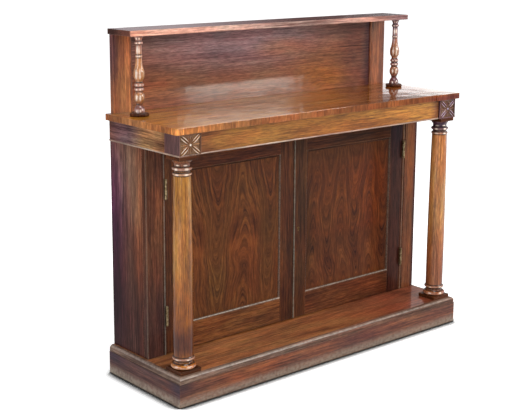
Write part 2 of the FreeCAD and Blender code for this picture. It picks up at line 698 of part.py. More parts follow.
def build_gallery():
    """The panelled back, the shelf and the two balusters that carry its front."""
    inner = gallery_half - s.upright_width
    face = back - s.upright_depth
    upright = beaded_board("upright_board", inner, gallery_half, face, back, s.upright_bead,
                           s.upright_bead_bow, s.gallery_height)
    pair("gallery_upright", place(upright, z=top_face))
    panel_face = face + s.gallery_panel_setback
    node(box("gallery_panel_board", (-inner, inner), (panel_face, panel_face + s.gallery_panel),
             (top_face, shelf_foot)), "gallery_panel")
    clearance = s.spigot_clearance
    hole = s.baluster_spigot + clearance
    deep = s.baluster_spigot_length + clearance
    board = box("shelf_blank", (-shelf_half, shelf_half), (shelf_front, back),
                (shelf_foot, shelf_foot + s.shelf_thickness))
    bore = cylinder("shelf_bore", hole, deep, baluster_x, baluster_y, shelf_foot)
    node(cut("shelf_bored", board, bore, mirrored("shelf_bore_left", bore)), "gallery_shelf")
    rim = s.foot_radius - s.foot_bow
    disc = turned("foot_disc", [(hole, 0.0), (rim, 0.0, s.foot_bow), (rim, s.foot_height),
                                (hole, s.foot_height)])
    both("baluster_feet", place(disc, baluster_x, baluster_y, top_face))
    foot = top_face + s.foot_height
    points = turned_profile("baluster", BALUSTER, shelf_foot - foot, s.baluster_spigot,
                            s.foot_height + s.baluster_spigot_length, s.baluster_spigot_length)
    pair("baluster", place(turned("baluster_turned", points), baluster_x, baluster_y, foot))
    bore = cylinder("top_bore", hole, deep, baluster_x, baluster_y, top_face - deep)
    return group("baluster_holes", bore, mirrored("top_bore_left", bore))


def screw(name, x, y, z, side):
    """A countersunk screw with its head's face at x, driven towards +X or -X."""
    head = doc.addObject("Part::Cone", name + "_head")
    bind(head, "Radius1", s.screw_head)
    bind(head, "Radius2", s.screw_radius)
    bind(head, "Height", s.screw_head_height)
    shank = doc.addObject("Part::Cylinder", name + "_shank")
    bind(shank, "Radius", s.screw_radius)
    bind(shank, "Height", s.screw_length)
    for part in (head, shank):
        place(turn_about(part, Y_AXIS, 90 * side), x, y, z)
    return fuse(name, head, shank)


def hinge_screws(name, x, face, side):
    """The screws of one leaf in each of the two hinges."""
    middle = face + s.hinge_leaf / 2
    levels = [foot + s.hinge_height / 2 + s.screw_spacing * step
              for foot in hinge_feet for step in (-1, 0, 1)]
    return group(name, *[screw(f"{name}_{i + 1}", x, middle, level, side)
                         for i, level in enumerate(levels)])


def hinge_leaves(name, leaf_x, face, knuckles, plates, screws):
    """One leaf of each of the two hinges: a plate let into the wood, and its knuckles."""
    pitch = s.hinge_height / KNUCKLES
    leaves = []
    for i, foot in enumerate(hinge_feet):
        parts = [plates[i]]
        for k in knuckles:
            low = foot + pitch * k
            high = low + pitch
            low = low + s.barrel_clearance / 2 if k > 0 else low
            high = high - s.barrel_clearance / 2 if k < KNUCKLES - 1 else high
            label = f"{name}_{i + 1}_knuckle_{k + 1}"
            parts.append(cylinder(label, s.barrel_radius, high - low, hinge_x, hinge_y, low))
            parts.append(box(label + "_tab", leaf_x, (hinge_y, face), (low, high)))
        bore = cylinder(f"{name}_{i + 1}_bore", s.pin_radius + s.pin_clearance, s.hinge_height,
                        hinge_x, hinge_y, foot)
        leaves.append(cut(f"{name}_{i + 1}", fuse(f"{name}_{i + 1}_whole", *parts), bore, screws))
    return group(name, *leaves)


def plates(name, leaf_x, face):
    """The plates of one leaf of each of the two hinges."""
    return [box(f"{name}_{i + 1}", leaf_x, (face, face + s.hinge_leaf),
                (foot, foot + s.hinge_height)) for i, foot in enumerate(hinge_feet)]


def build_hinges():
    """Two butt hinges a door. What is let into the wood is handed back to cut it."""
    frame_x = (opening_half, opening_half + s.hinge_plate)
    door_x = (door_outer - s.hinge_plate, door_outer)
    frame_plates = plates("frame_plate", frame_x, carcass_front)
    door_plates = plates("door_plate", door_x, door_front)
    frame_screws = hinge_screws("frame_screw", opening_half, carcass_front, 1)
    door_screws = hinge_screws("door_screw", door_outer, door_front, -1)
    both("hinge_frame_leaves", hinge_leaves("frame_leaf", frame_x, carcass_front, (0, 2, 4),
                                            frame_plates, frame_screws))
    pair("door_hinge_leaves", hinge_leaves("door_leaf", door_x, door_front, (1, 3),
                                           door_plates, door_screws))
    pins = [cylinder(f"pin_{i + 1}", s.pin_radius, s.hinge_height, hinge_x, hinge_y, foot)
            for i, foot in enumerate(hinge_feet)]
    both("hinge_pins", group("pins", *pins))
    both("frame_hinge_screws", frame_screws)
    pair("door_hinge_screws", door_screws)
    return frame_plates, frame_screws, door_plates, door_screws


def keyhole(name, rim, low, high):
    """A keyhole's solid between two depths: a round head over a narrower slot."""
    x = door_inner + s.key_inset
    head = doc.addObject("Part::Cylinder", name + "_round")
    bind(head, "Radius", s.keyhole_radius + rim)
    bind(head, "Height", high - low)
    place(turn_about(head, X_AXIS, 90), x, high, s.lock_height)
    slot = box(name + "_slot", centred(x, s.keyhole_slot + rim * 2), (low, high),
               (s.lock_height - s.keyhole_drop - rim, s.lock_height))
    return fuse(name, head, slot)


def build_lock():
    """A lock let into the back of the right door's meeting stile, its bolt and its keyhole."""
    case_front = door_back - s.lock_case_depth
    wall, room = s.lock_wall, s.bolt_clearance
    tall = centred(s.lock_height, s.lock_case_height)
    case = box("case_blank", (door_inner, door_inner + s.lock_case_width),
               (case_front, door_back), tall)
    hollow = box("case_hollow", (door_inner + wall, door_inner + s.lock_case_width - wall),
                 (case_front + wall, door_back - wall), (tall[0] + wall, tall[1] - wall))
    bolt_y = case_front + s.lock_case_depth / 2
    slot = box("case_slot", (door_inner, door_inner + wall),
               centred(bolt_y, s.lock_bolt_thickness + room * 2),
               centred(s.lock_height, s.lock_bolt_height + room * 2))
    key = keyhole("key_way", size(0), door_front, case_front + wall)
    rim = keyhole("rim_blank", s.escutcheon_rim, door_front, door_front + s.escutcheon_depth)
    node(cut("case", case, hollow, slot, key), "lock_case")
    node(cut("rim", rim, key), "escutcheon")
    tip = door_inner + room
    node(box("bolt", (tip, tip + s.lock_bolt_length), centred(bolt_y, s.lock_bolt_thickness),
             centred(s.lock_height, s.lock_bolt_height)), "lock_bolt")
    mortise = box("lock_mortise", (-door_inner - s.lock_throw, -door_inner),
                  centred(bolt_y, s.lock_bolt_thickness + room * 2),
                  centred(s.lock_height, s.lock_bolt_height + room * 2))
    return (case, key, rim), mortise


def flush_bolt(name, end, inward):
    """A flush bolt let into the left door's meeting edge at one end of the door. Inward is 1
    where the door lies above that end and -1 where it lies below."""
    room = s.bolt_clearance

    def along(near, far):
        """Two distances from the door's end, as a rising pair of levels."""
        return (end + near, end + far) if inward > 0 else (end - far, end - near)

    plate_back = -door_inner - s.flush_plate
    bolt_face = plate_back - room
    bolt_back = bolt_face - s.flush_bolt_thickness
    slot_far = s.flush_plate_length - s.flush_plate_width
    slot_near = slot_far - s.thumb_slot
    blank = box(name + "_plate_blank", (plate_back, -door_inner),
                centred(door_middle, s.flush_plate_width), along(size(0), s.flush_plate_length))
    slot = box(name + "_slot", (plate_back, -door_inner),
               centred(door_middle, s.thumb_width + room * 2), along(slot_near, slot_far))
    plate = cut(name + "_plate", blank, slot)
    bar = box(name + "_bar", (bolt_back, bolt_face), centred(door_middle, s.flush_bolt_width),
              along(room, s.flush_bolt_length))
    thumb = box(name + "_thumb", (bolt_face, -door_inner - room),
                centred(door_middle, s.thumb_width),
                along(slot_far - room - s.thumb_piece, slot_far - room))
    node(fuse(name + "_whole", bar, thumb), name)
    wide = centred(door_middle, s.flush_bolt_width + room * 2)
    reach = slot_far + room
    channel = box(name + "_channel", (bolt_back - room, plate_back), wide, along(size(0), reach))
    hole_x = (bolt_back - room, bolt_face + room)
    hole = box(name + "_hole", hole_x, wide, along(-(s.flush_throw + room), size(0)))
    return plate, blank, channel, hole


def panel_beads(opening_x, opening_z, level):
    """Four quarter-round strips, mitred round a panel."""
    width, height = s.panel_bead, s.panel_bead_height
    quarter = [(0.0, 0.0), (width, 0.0, s.panel_bead_bow), (0.0, height)]
    run = opening_x[1] - opening_x[0]
    rise = opening_z[1] - opening_z[0]
    corners = ((0, 0, run), (1, 0, rise), (1, 1, run), (0, 1, rise))
    strips = []
    for i, (right, upper, length) in enumerate(corners):
        strip = mitred(f"panel_bead_{i + 1}", quarter, length, width, height, (1, 1))
        turn = FreeCAD.Rotation(-Y_AXIS, 90 * i).multiply(FreeCAD.Rotation(X_AXIS, 90))
        strip.Placement = FreeCAD.Placement(FreeCAD.Vector(), turn)
        strips.append(place(strip, opening_x[right], level, opening_z[upper]))
    return group("panel_bead_frame", *strips)


def build_doors(door_plates, door_screws, lock_cuts, mortise, bolt_plates, bolt_cuts):
    """Two framed doors. Each has a panel grooved into stiles and rails that are tenoned."""
    tall = (door_foot, door_head)
    opening_x = (door_inner + s.meeting_stile, door_outer - s.hinge_stile)
    opening_z = (door_foot + s.bottom_rail, door_head - s.top_rail)
    deep = (door_front, door_back)
    groove = s.panel_groove
    panel_face = door_front + s.panel_setback
    panel = box("panel", (opening_x[0] - groove, opening_x[1] + groove),
                (panel_face, panel_face + s.panel_thickness),
                (opening_z[0] - groove, opening_z[1] + groove))
    shoulder = s.tenon_shoulder
    rails = {"bottom_rail": (door_foot, opening_z[0]), "top_rail": (opening_z[1], door_head)}
    tenons = []
    for name, (low, high) in rails.items():
        tenon = box(name + "_tenon", (opening_x[0] - s.tenon_length, opening_x[1] + s.tenon_length),
                    centred(door_middle, s.tenon_thickness), (low + shoulder, high - shoulder))
        rail = fuse(name + "_tenoned", box(name + "_blank", opening_x, deep, (low, high)), tenon)
        pair("door_" + name, cut(name + "_grooved", rail, panel))
        tenons.append(tenon)
    pair("door_panel", panel)
    pair("door_panel_beads", panel_beads(opening_x, opening_z, panel_face))
    stile = box("hinge_stile_blank", (opening_x[1], door_outer), deep, tall)
    pair("door_hinge_stile", cut("hinge_stile_let_in", stile, panel, *tenons, *door_plates,
                                 door_screws))
    stile = box("meeting_stile_blank", (door_inner, opening_x[0]), deep, tall)
    plain = cut("meeting_stile_mortised", stile, panel, *tenons)
    bead, bow = s.meeting_bead, s.meeting_bead_bow
    strip = extruded("meeting_bead", "XY_Plane",
                     [(door_inner + bead, door_front), (door_inner, door_front, bow)],
                     door_head - door_foot)
    beaded = fuse("meeting_stile_beaded", plain, place(strip, z=door_foot))
    node(cut("meeting_stile_with_lock", beaded, *lock_cuts), "door_meeting_stile_right")
    left = mirrored("meeting_stile_left", plain)
    node(cut("meeting_stile_with_bolts", left, mortise, *bolt_cuts), "door_meeting_stile_left")
    node(group("bolt_plates", *bolt_plates), "flush_bolt_plates")


def export():
    """Check every object and every sub-part, and write each sub-part's file."""
    doc.recompute()
    for thing in doc.Objects:
        if {"Invalid", "Error"} & set(thing.State):
            raise RuntimeError(f"{thing.Name} did not build: {thing.State}")
    os.makedirs("parts", exist_ok=True)
    for thing in nodes:
        shape = thing.Shape
        if shape.isNull() or not shape.isValid() or not shape.Solids:
            raise RuntimeError(f"{thing.Label} has no valid solid")
        shape.exportStep(f"parts/{thing.Label}.step")
        solids, litres = len(shape.Solids), shape.Volume / 1e6
        print(f"{thing.Label}: {solids} solid{'s' if solids > 1 else ''}, {litres:.4f} litres")
    print(f"{len(nodes)} sub-parts")


build_plinth()
foot_plate, foot_blank, foot_channel, foot_hole = flush_bolt("bottom_bolt", door_foot, 1)
head_plate, head_blank, head_channel, head_hole = flush_bolt("top_bolt", door_head, -1)
build_base(foot_hole)
frame_plates, frame_screws, door_plates, door_screws = build_hinges()
build_carcass(frame_plates, frame_screws, head_hole)
build_frieze()
build_top(build_gallery())
build_columns()
lock_cuts, lock_mortise = build_lock()
build_doors(door_plates, door_screws, lock_cuts, lock_mortise, (foot_plate, head_plate),
            (foot_blank, head_blank, foot_channel, head_channel))
export()
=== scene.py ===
import json
import math
from collections import namedtuple

import bmesh
import bpy
from mathutils import Matrix, Vector

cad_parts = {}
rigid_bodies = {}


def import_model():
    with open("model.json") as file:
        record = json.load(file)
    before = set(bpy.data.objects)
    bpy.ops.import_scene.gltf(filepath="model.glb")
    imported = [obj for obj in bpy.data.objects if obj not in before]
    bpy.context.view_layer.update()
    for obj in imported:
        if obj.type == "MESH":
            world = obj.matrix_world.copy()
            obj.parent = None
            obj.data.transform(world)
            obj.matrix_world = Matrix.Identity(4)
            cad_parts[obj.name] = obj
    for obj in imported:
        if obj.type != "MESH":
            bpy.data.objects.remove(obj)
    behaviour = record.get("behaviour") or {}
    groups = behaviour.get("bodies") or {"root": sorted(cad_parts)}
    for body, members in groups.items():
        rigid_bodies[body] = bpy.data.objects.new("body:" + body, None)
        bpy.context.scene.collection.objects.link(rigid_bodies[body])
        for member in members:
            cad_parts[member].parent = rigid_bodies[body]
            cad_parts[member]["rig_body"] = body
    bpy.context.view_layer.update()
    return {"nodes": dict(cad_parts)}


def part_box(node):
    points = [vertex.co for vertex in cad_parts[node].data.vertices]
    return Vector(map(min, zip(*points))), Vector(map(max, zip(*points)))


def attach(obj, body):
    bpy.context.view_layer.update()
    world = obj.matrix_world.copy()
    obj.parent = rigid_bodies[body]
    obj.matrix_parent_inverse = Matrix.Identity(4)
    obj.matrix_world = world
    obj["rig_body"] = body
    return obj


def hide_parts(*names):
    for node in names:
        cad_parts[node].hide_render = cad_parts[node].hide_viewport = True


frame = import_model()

# The finish of a Regency rosewood chiffonier: French-polished boards and turnings, carved
# corner blocks, beads with painted highlights, brass hinges and a pale studio. Metres, as in the
# CAD.

# --- Camera -----------------------------------------------------------------------------
CAMERA_PLACE = Vector((-2.6267, -2.8774, 1.4429))
CAMERA_YAW = 0.7052  # radians, from +Y towards +X
CAMERA_PITCH = -0.2002
CAMERA_ROLL = 0.0052
LENS = 80.2  # millimetres, as the sensor
SENSOR = 36.0
SHIFT = -0.08  # upwards, as a share of the picture's width

# --- Colours ----------------------------------------------------------------------------


def screen(red, green, blue):
    """A screen colour in 0 to 255 as linear light, with alpha."""
    def linear(value):
        value /= 255
        return value / 12.92 if value <= 0.04045 else ((value + 0.055) / 1.055) ** 2.4
    return (linear(red), linear(green), linear(blue), 1.0)


WHITE = (1.0, 1.0, 1.0, 1.0)
BLACK_LINE = screen(34, 15, 10)
# Dark wax and dust, and painted shade in hollows, grooves, carving grounds and at the floor.
GRIME_AND_SHADE = screen(30, 18, 14)
# Paler edges: partly rubbed polish, partly painted highlight.
RUBBED_AND_HIGHLIT = screen(196, 150, 112)
# Painted highlights on turned rings and glints.
PAINTED_RING_HIGHLIGHT = screen(222, 178, 158)
PAINTED_GLINT = screen(255, 234, 212)
# Painted highlight on the carving's crests.
PAINTED_CREST_HIGHLIGHT = screen(255, 238, 220)
# Painted reflection of the pale floor on the plinth's foot.
PAINTED_FLOOR_REFLECTION = screen(166, 151, 134)
INKY = screen(48, 32, 56)
# Painted highlights on the moulding, the door beads, the stiles' and pilasters' beads and the
# corner.
PAINTED_MOULDING_HIGHLIGHT = screen(208, 190, 174)
PAINTED_BEAD_HIGHLIGHT = screen(226, 210, 190)
DULL_PAINTED_HIGHLIGHT = screen(164, 164, 148)
REDDER = (1.07, 0.94, 0.88, 1.0)  # gains where the heartwood turns
GREENER = (0.945, 1.03, 0.98, 1.0)
BRASS = screen(158, 122, 70)
DULL_BRASS = screen(96, 66, 30)
TARNISHED = screen(186, 166, 128)
DARK_BRASS = screen(120, 98, 68)

# A look has dark, middle and light tones as they show on screen, how strong its dark lines
# are, how much its face mirrors, its polish's weight and roughness, and the wood's own
# roughness.
Look = namedtuple("Look", "tones lines mirror polish gloss roughness")
LOOKS = {
    "top": Look(((92, 46, 12), (154, 92, 26), (192, 124, 40)), 0.5, 0.04, 0.8, 0.05, 0.4),
    "gallery": Look(((99, 60, 45), (131, 84, 63), (153, 104, 77)), 0.3, 0.1, 1.0, 0.09, 0.4),
    "upright": Look(((84, 42, 22), (142, 82, 50), (178, 112, 66)), 0.5, 0.2, 0.8, 0.12, 0.4),
    "shelf": Look(((74, 40, 32), (112, 72, 60), (136, 92, 78)), 0.4, 0.05, 0.65, 0.1, 0.4),
    "frieze": Look(((92, 48, 16), (144, 88, 34), (178, 118, 50)), 0.4, 0.2, 0.3, 0.14, 0.42),
    "end": Look(((50, 24, 18), (95, 57, 42), (131, 84, 60)), 0.7, 0.04, 0.25, 0.14, 0.42),
    "carved": Look(((84, 46, 24), (150, 98, 58), (190, 134, 88)), 0.2, 0.1, 0.6, 0.1, 0.33),
    "block": Look(((64, 40, 28), (118, 80, 54), (150, 106, 70)), 0.4, 0.2, 0.4, 0.14, 0.4),
    "frame": Look(((38, 16, 9), (78, 41, 21), (108, 61, 31)), 0.6, 0.04, 0.2, 0.18, 0.45),
    "rail": Look(((60, 29, 13), (104, 58, 28), (136, 80, 38)), 0.6, 0.04, 0.2, 0.18, 0.45),
    "figured": Look(((54, 25, 12), (96, 51, 22), (124, 70, 32)), 0.82, 0.04, 0.2, 0.16, 0.42),
    "post": Look(((52, 25, 17), (98, 56, 37), (130, 78, 48)), 0.6, 0.05, 0.2, 0.16, 0.42),
    "base": Look(((84, 43, 22), (143, 88, 51), (177, 114, 66)), 0.5, 0.05, 0.5, 0.1, 0.4),
    "plinth": Look(((62, 32, 24), (104, 60, 46), (138, 84, 56)), 0.4, 0.2, 0.3, 0.16, 0.42),
    "turned": Look(((106, 62, 34), (166, 112, 68), (204, 146, 92)), 0.3, 0.45, 1.0, 0.06, 0.33),
    "column": Look(((116, 62, 18), (168, 106, 40), (200, 136, 56)), 0.35, 0.08, 1.0, 0.1, 0.38),
    # Painted highlight: the frieze bead's pale tones stand for the light that it catches.
    "bead": Look(((120, 90, 76), (172, 140, 122), (210, 182, 164)), 0.3, 0.35, 0.5, 0.18, 0.42),
    "moulding": Look(((60, 42, 34), (108, 84, 72), (146, 120, 106)), 0.45, 0.1, 0.3, 0.24, 0.42),
    "door_bead": Look(((34, 18, 12), (66, 38, 25), (90, 54, 36)), 0.3, 0.04, 0.1, 0.24, 0.45),
    "crossband": Look(((134, 74, 42), (158, 94, 54), (176, 108, 64)), 0.15, 0.3, 0.5, 0.14, 0.42),
    "secondary": Look(((90, 56, 36), (142, 98, 64), (172, 126, 86)), 0.35, 0.15, 0.0, 0.3, 0.6),
}

# --- Shaders ----------------------------------------------------------------------------

GRAIN = {"X": "yzx", "Y": "xzy", "Z": "xyz"}  # across, through and along the grain

# Noises: scales along each axis, detail, roughness, and what is added to the seed.
Noise = namedtuple("Noise", "scales detail roughness shift")
# These are across, through and along the grain.
BROAD = Noise((24, 24, 3.2), 3, 0.55, 0)
STREAKS = Noise((170, 170, 6.0), 4, 0.65, 11)
LINED = Noise((420, 420, 8.0), 3, 0.6, 23)
FIBRES = Noise((1000, 1000, 30), 2, 0.5, 31)
PORES = Noise((1500, 1500, 80), 1, 0.5, 43)
MOTTLE = Noise((16, 16, 5.0), 3, 0.6, 53)
FLECKS = Noise((300, 300, 34), 2, 0.6, 61)
FLAME_DRIFT = Noise((5.0, 0.0, 3.4), 2, 0.5, 3)
# These are along X, Y and Z.
RIPPLE = Noise((14, 14, 14), 2, 0.5, 0)
BREAKS = Noise((85, 85, 85), 3, 0.6, 7)
TARNISH = Noise((90, 90, 90), 4, 0.6, 0)
SCRATCHES = Noise((900, 900, 60), 2, 0.5, 7)
NOISE_SPREAD = (1.0, 0.7, 1.3)  # how far a seed moves a noise along each axis
NOISE_MIDDLE = 0.5

BROAD_SHARE = 0.4
STREAK_SHARE = 0.6
TONE_STOPS = (0.35, 0.49, 0.63)  # where the dark, middle and light tones lie
# Steps: between which two values, and from what to what (from 0 to 1 where it isn't said).
MOTTLE_STEP = (0.36, 0.64)
LINE_STEP = (0.55, 0.70)
PORE_STEP = (0.62, 0.72)
FLECK_SHADES = (0.34, 0.66, 1.22, 0.74)
FIBRE_SHADES = (0.3, 0.7, 0.84, 1.14)
BREAK_SHADES = (0.36, 0.60, 0.6, 1.15)
BAND_SHADES = (0.0, 1.0, 0.68, 1.12)
PORE_DARKNESS = 0.4
FIBRE_HEIGHT = 0.4

WANDER_SCALE = (9.0, 9.0, 2.2)
WANDER_SPREAD = (1.0, 2.1, 0.6)
WANDER_DETAIL = 2.0
WANDER = 0.012  # width of the band in which the grain wanders
FLAME_WANDER = 0.11
FLAME_THROUGH = 0.3  # how fast a flame's figure changes through the board
RIPPLE_HEIGHT = 0.0005
GRAIN_BUMP = 0.35
GRAIN_HEIGHT = 0.0003
PATCH_CORE = 0.15  # share of a patch's reach that has its full strength
SIDEWAYS = 0.5  # a moulding's face with more of its normal along X than this runs along Y
UPRIGHT = 0.7  # a face with less of its normal upwards than this stands upright

EDGE_REACH = 0.0022
EDGE_TURN = (0.995, 0.85)  # cosine of the edge's turn, plain and wholly paled
EDGE_SAMPLES = 6
HOLLOW = 0.006  # reach in which a hollow darkens with wax and dust, and with painted shade
CARVED_HOLLOW = 0.0025
METAL_HOLLOW = 0.003
HOLLOW_STEP = (0.45, 0.95)
HOLLOW_SAMPLES = 8
BANDS_PER_METRE = 19.0
FIRST_BAND = 0.3
BAND_STRETCH = 0.4  # scale of the banding's grain along the board
BAND_SEED = 5
GROUND_SHADE_STEP = (0.0026, 0.0009, 0.0, 0.6)  # heights over the carving's back, and painted shade there
CREST_HIGHLIGHT_STEP = (0.0042, 0.0058, 0.0, 0.85)  # the same for the crests, and painted highlight there

METAL_ROUGHNESS = 0.42
METAL_GRIME_AND_SHADE = 0.6
DULLNESS = 0.2  # what is added to the roughness where metal is dull
TARNISH_STEP = (0.42, 0.62)
DULL_STEP = (0.35, 0.65)
SCRATCH_BUMP = 0.2
SCRATCH_HEIGHT = 0.0002


class Tree:
    """A node tree that is written a call at a time."""

    def __init__(self, tree):
        self.tree = tree

    def add(self, kind, inputs=(), **settings):
        """A node with its inputs, by number or name, given as values or other nodes' outputs."""
        made = self.tree.nodes.new("ShaderNode" + kind)
        for name, value in settings.items():
            setattr(made, name, value)
        pairs = inputs.items() if isinstance(inputs, dict) else enumerate(inputs)
        for key, value in pairs:
            if isinstance(value, bpy.types.NodeSocket):
                self.tree.links.new(value, made.inputs[key])
            elif value is not None:
                made.inputs[key].default_value = value
        return made

    def link(self, output, node, key):
        self.tree.links.new(output, node.inputs[key])

    def math(self, operation, *values):
        return self.add("Math", values, operation=operation).outputs[0]

    def vector(self, operation, *values, output=0):
        return self.add("VectorMath", values, operation=operation).outputs[output]

    def mix(self, factor, first, second, blend="MIX"):
        inputs = {0: factor, 6: first, 7: second}
        return self.add("Mix", inputs, data_type="RGBA", blend_type=blend).outputs[2]

    def shaded(self, colour, shade):
        """A colour times a number."""
        grey = self.add("CombineColor", (shade, shade, shade)).outputs[0]
        return self.mix(1.0, colour, grey, "MULTIPLY")

    def split(self, place):
        return self.add("SeparateXYZ", (place,)).outputs

    def joined(self, *parts):
        return self.add("CombineXYZ", parts).outputs[0]

    def place(self):
        """The place in the object's own coordinates, which are the CAD's."""
        return self.add("TexCoord").outputs["Object"]

    def normal(self):
        return self.add("NewGeometry").outputs["True Normal"]

    def openness(self, reach):
        """How open a place is to its surroundings, within a reach."""
        return self.add("AmbientOcclusion", {1: reach}, samples=HOLLOW_SAMPLES).outputs["AO"]

    def noise(self, place, noise, seed=0.0):
        """One of the noises, from 0 to 1."""
        shift = [(seed + noise.shift) * spread for spread in NOISE_SPREAD]
        scaled = self.vector("MULTIPLY_ADD", place, noise.scales, shift)
        inputs = {"Vector": scaled, "Scale": 1.0, "Detail": noise.detail,
                  "Roughness": noise.roughness}
        return self.add("TexNoise", inputs).outputs[0]

    def step(self, value, low, high, to_low=0.0, to_high=1.0):
        """A smooth step between two values."""
        made = self.add("MapRange", (value, low, high, to_low, to_high))
        made.interpolation_type = "SMOOTHSTEP"
        return made.outputs[0]

    def ramp(self, value, *stops):
        made = self.add("ValToRGB", (value,))
        elements = made.color_ramp.elements
        while len(elements) < len(stops):
            elements.new(0.5)  # its place is set below
        for element, (position, colour) in zip(elements, stops):
            element.position = position
            element.color = colour
        return made.outputs[0]

    def bump(self, height, strength, distance, normal=None):
        inputs = {"Strength": strength, "Distance": distance, "Height": height, "Normal": normal}
        return self.add("Bump", inputs).outputs[0]


def new_material(name):
    """A material with only its Principled shader, and its tree."""
    material = bpy.data.materials.new(name)
    material.use_nodes = True
    return material, Tree(material.node_tree), material.node_tree.nodes["Principled BSDF"]


def board_place(tree, place, grain):
    """The place in a board as (across, through, along) the grain."""
    split = tree.split(place)
    if grain == "run":
        facing = tree.vector("ABSOLUTE", tree.normal())
        sideways = tree.math("GREATER_THAN", tree.split(facing)[0], SIDEWAYS)
        across = tree.add("Mix", {0: sideways, 2: split[1], 3: split[0]}).outputs[0]
        along = tree.add("Mix", {0: sideways, 2: split[0], 3: split[1]}).outputs[0]
        return tree.joined(split[2], across, along)
    return tree.joined(*[split["xyz".index(axis)] for axis in GRAIN[grain]])


def wavy(tree, place, seed):
    """The place pushed about a little, so that the grain wanders."""
    shift = [seed * spread for spread in WANDER_SPREAD]
    scaled = tree.vector("MULTIPLY_ADD", place, WANDER_SCALE, shift)
    inputs = {"Vector": scaled, "Scale": 1.0, "Detail": WANDER_DETAIL}
    push = tree.add("TexNoise", inputs).outputs[1]
    push = tree.vector("SUBTRACT", push, (NOISE_MIDDLE, NOISE_MIDDLE, NOISE_MIDDLE))
    return tree.vector("ADD", place, tree.vector("MULTIPLY", push, (WANDER, WANDER, 0.0)))


def flamed(tree, place, flame, seed):
    """The place as (ring, through, along) for flat-sawn figure: nested flames, with a crest at
    one distance across the board, and further crests a spacing apart."""
    crest, spacing, lean = flame
    split = tree.split(place)
    drift = tree.math("SUBTRACT", tree.noise(place, FLAME_DRIFT, seed), NOISE_MIDDLE)
    drifted = tree.math("ADD", split[0], tree.math("MULTIPLY", drift, FLAME_WANDER))
    turn = 2 * math.pi / spacing
    phase = tree.math("MULTIPLY", tree.math("SUBTRACT", drifted, crest), turn)
    waves = tree.math("MULTIPLY", tree.math("COSINE", phase), -1 / turn)
    ring = tree.math("ADD", waves, tree.math("MULTIPLY", split[2], lean))
    return tree.joined(ring, tree.math("MULTIPLY", split[1], FLAME_THROUGH), split[2])


def grain_colour(tree, place, look, seed):
    """Colour and height of the wood at a place given across, through and along its grain."""
    broad, streaks, lined, fibres, pores, mottle, flecks = [
        tree.noise(place, noise, seed)
        for noise in (BROAD, STREAKS, LINED, FIBRES, PORES, MOTTLE, FLECKS)]
    tone = tree.math("ADD", tree.math("MULTIPLY", broad, BROAD_SHARE),
                     tree.math("MULTIPLY", streaks, STREAK_SHARE))
    colour = tree.ramp(tone, *zip(TONE_STOPS, [screen(*tone) for tone in look.tones]))
    drift = tree.mix(tree.step(mottle, *MOTTLE_STEP), REDDER, GREENER)
    colour = tree.mix(1.0, colour, drift, "MULTIPLY")
    line = tree.math("MULTIPLY", tree.step(lined, *LINE_STEP), look.lines)
    colour = tree.mix(line, colour, BLACK_LINE)
    colour = tree.shaded(colour, tree.step(flecks, *FLECK_SHADES))
    colour = tree.shaded(colour, tree.step(fibres, *FIBRE_SHADES))
    pore = tree.math("MULTIPLY", tree.step(pores, *PORE_STEP), PORE_DARKNESS)
    colour = tree.mix(pore, colour, BLACK_LINE)
    height = tree.math("SUBTRACT", tree.math("MULTIPLY", fibres, FIBRE_HEIGHT), pore)
    return colour, height


def patch(tree, place, middle, reach):
    """1 in a soft ellipsoid's middle, 0 outside it."""
    off = tree.vector("DIVIDE", tree.vector("SUBTRACT", place, middle), reach)
    return tree.step(tree.vector("LENGTH", off, output="Value"), PATCH_CORE, 1.0, 1.0, 0.0)


def washed(tree, colour, place, washes):
    """Patches tinting the wood, partly its own tone, partly painted light and shade: each is
    (middle, reach, gain).
    """
    for middle, reach, gain in washes:
        tint = tree.mix(patch(tree, place, middle, reach), WHITE, (*gain, 1.0))
        colour = tree.mix(1.0, colour, tint, "MULTIPLY")
    return colour


def patched(tree, colour, place, colour_patches):
    """Soft, broken patches of another colour, most of them painted highlights and painted shade:
    each is (middle, reach, colour, strength)."""
    if colour_patches:
        broken_up = tree.step(tree.noise(place, BREAKS), *BREAK_SHADES)
    for middle, reach, patch_colour, strength in colour_patches:
        share = tree.math("MULTIPLY", patch(tree, place, middle, reach), strength)
        share = tree.math("MINIMUM", tree.math("MULTIPLY", share, broken_up), 1.0)
        colour = tree.mix(share, colour, patch_colour)
    return colour


def worn_and_highlit_edges(tree, colour, strength):
    """Paler edges: partly polish rubbed off by handling, partly painted highlight along the
    edges.
    """
    rounded = tree.add("Bevel", (EDGE_REACH,), samples=EDGE_SAMPLES).outputs[0]
    turn = tree.vector("DOT_PRODUCT", rounded, tree.normal(), output="Value")
    return tree.mix(tree.step(turn, *EDGE_TURN, 0.0, strength), colour, RUBBED_AND_HIGHLIT)


def grimed_and_shaded(tree, colour, strength, reach):
    """Darker in hollows: dark wax and dust, and painted shade."""
    share = tree.step(tree.openness(reach), *HOLLOW_STEP, strength, 0.0)
    return tree.mix(share, colour, GRIME_AND_SHADE)


def finish(tree, surface, colour, height, look, place):
    """Colour, polish and the slight unevenness of the surface on a shader."""
    tree.link(colour, surface, "Base Color")
    surface.inputs["Roughness"].default_value = look.roughness
    surface.inputs["Specular IOR Level"].default_value = look.mirror
    surface.inputs["Coat Weight"].default_value = look.polish
    surface.inputs["Coat Roughness"].default_value = look.gloss
    rippled = tree.bump(tree.noise(place, RIPPLE), 1.0, RIPPLE_HEIGHT)
    tree.link(rippled, surface, "Coat Normal")
    tree.link(tree.bump(height, GRAIN_BUMP, GRAIN_HEIGHT, rippled), surface, "Normal")


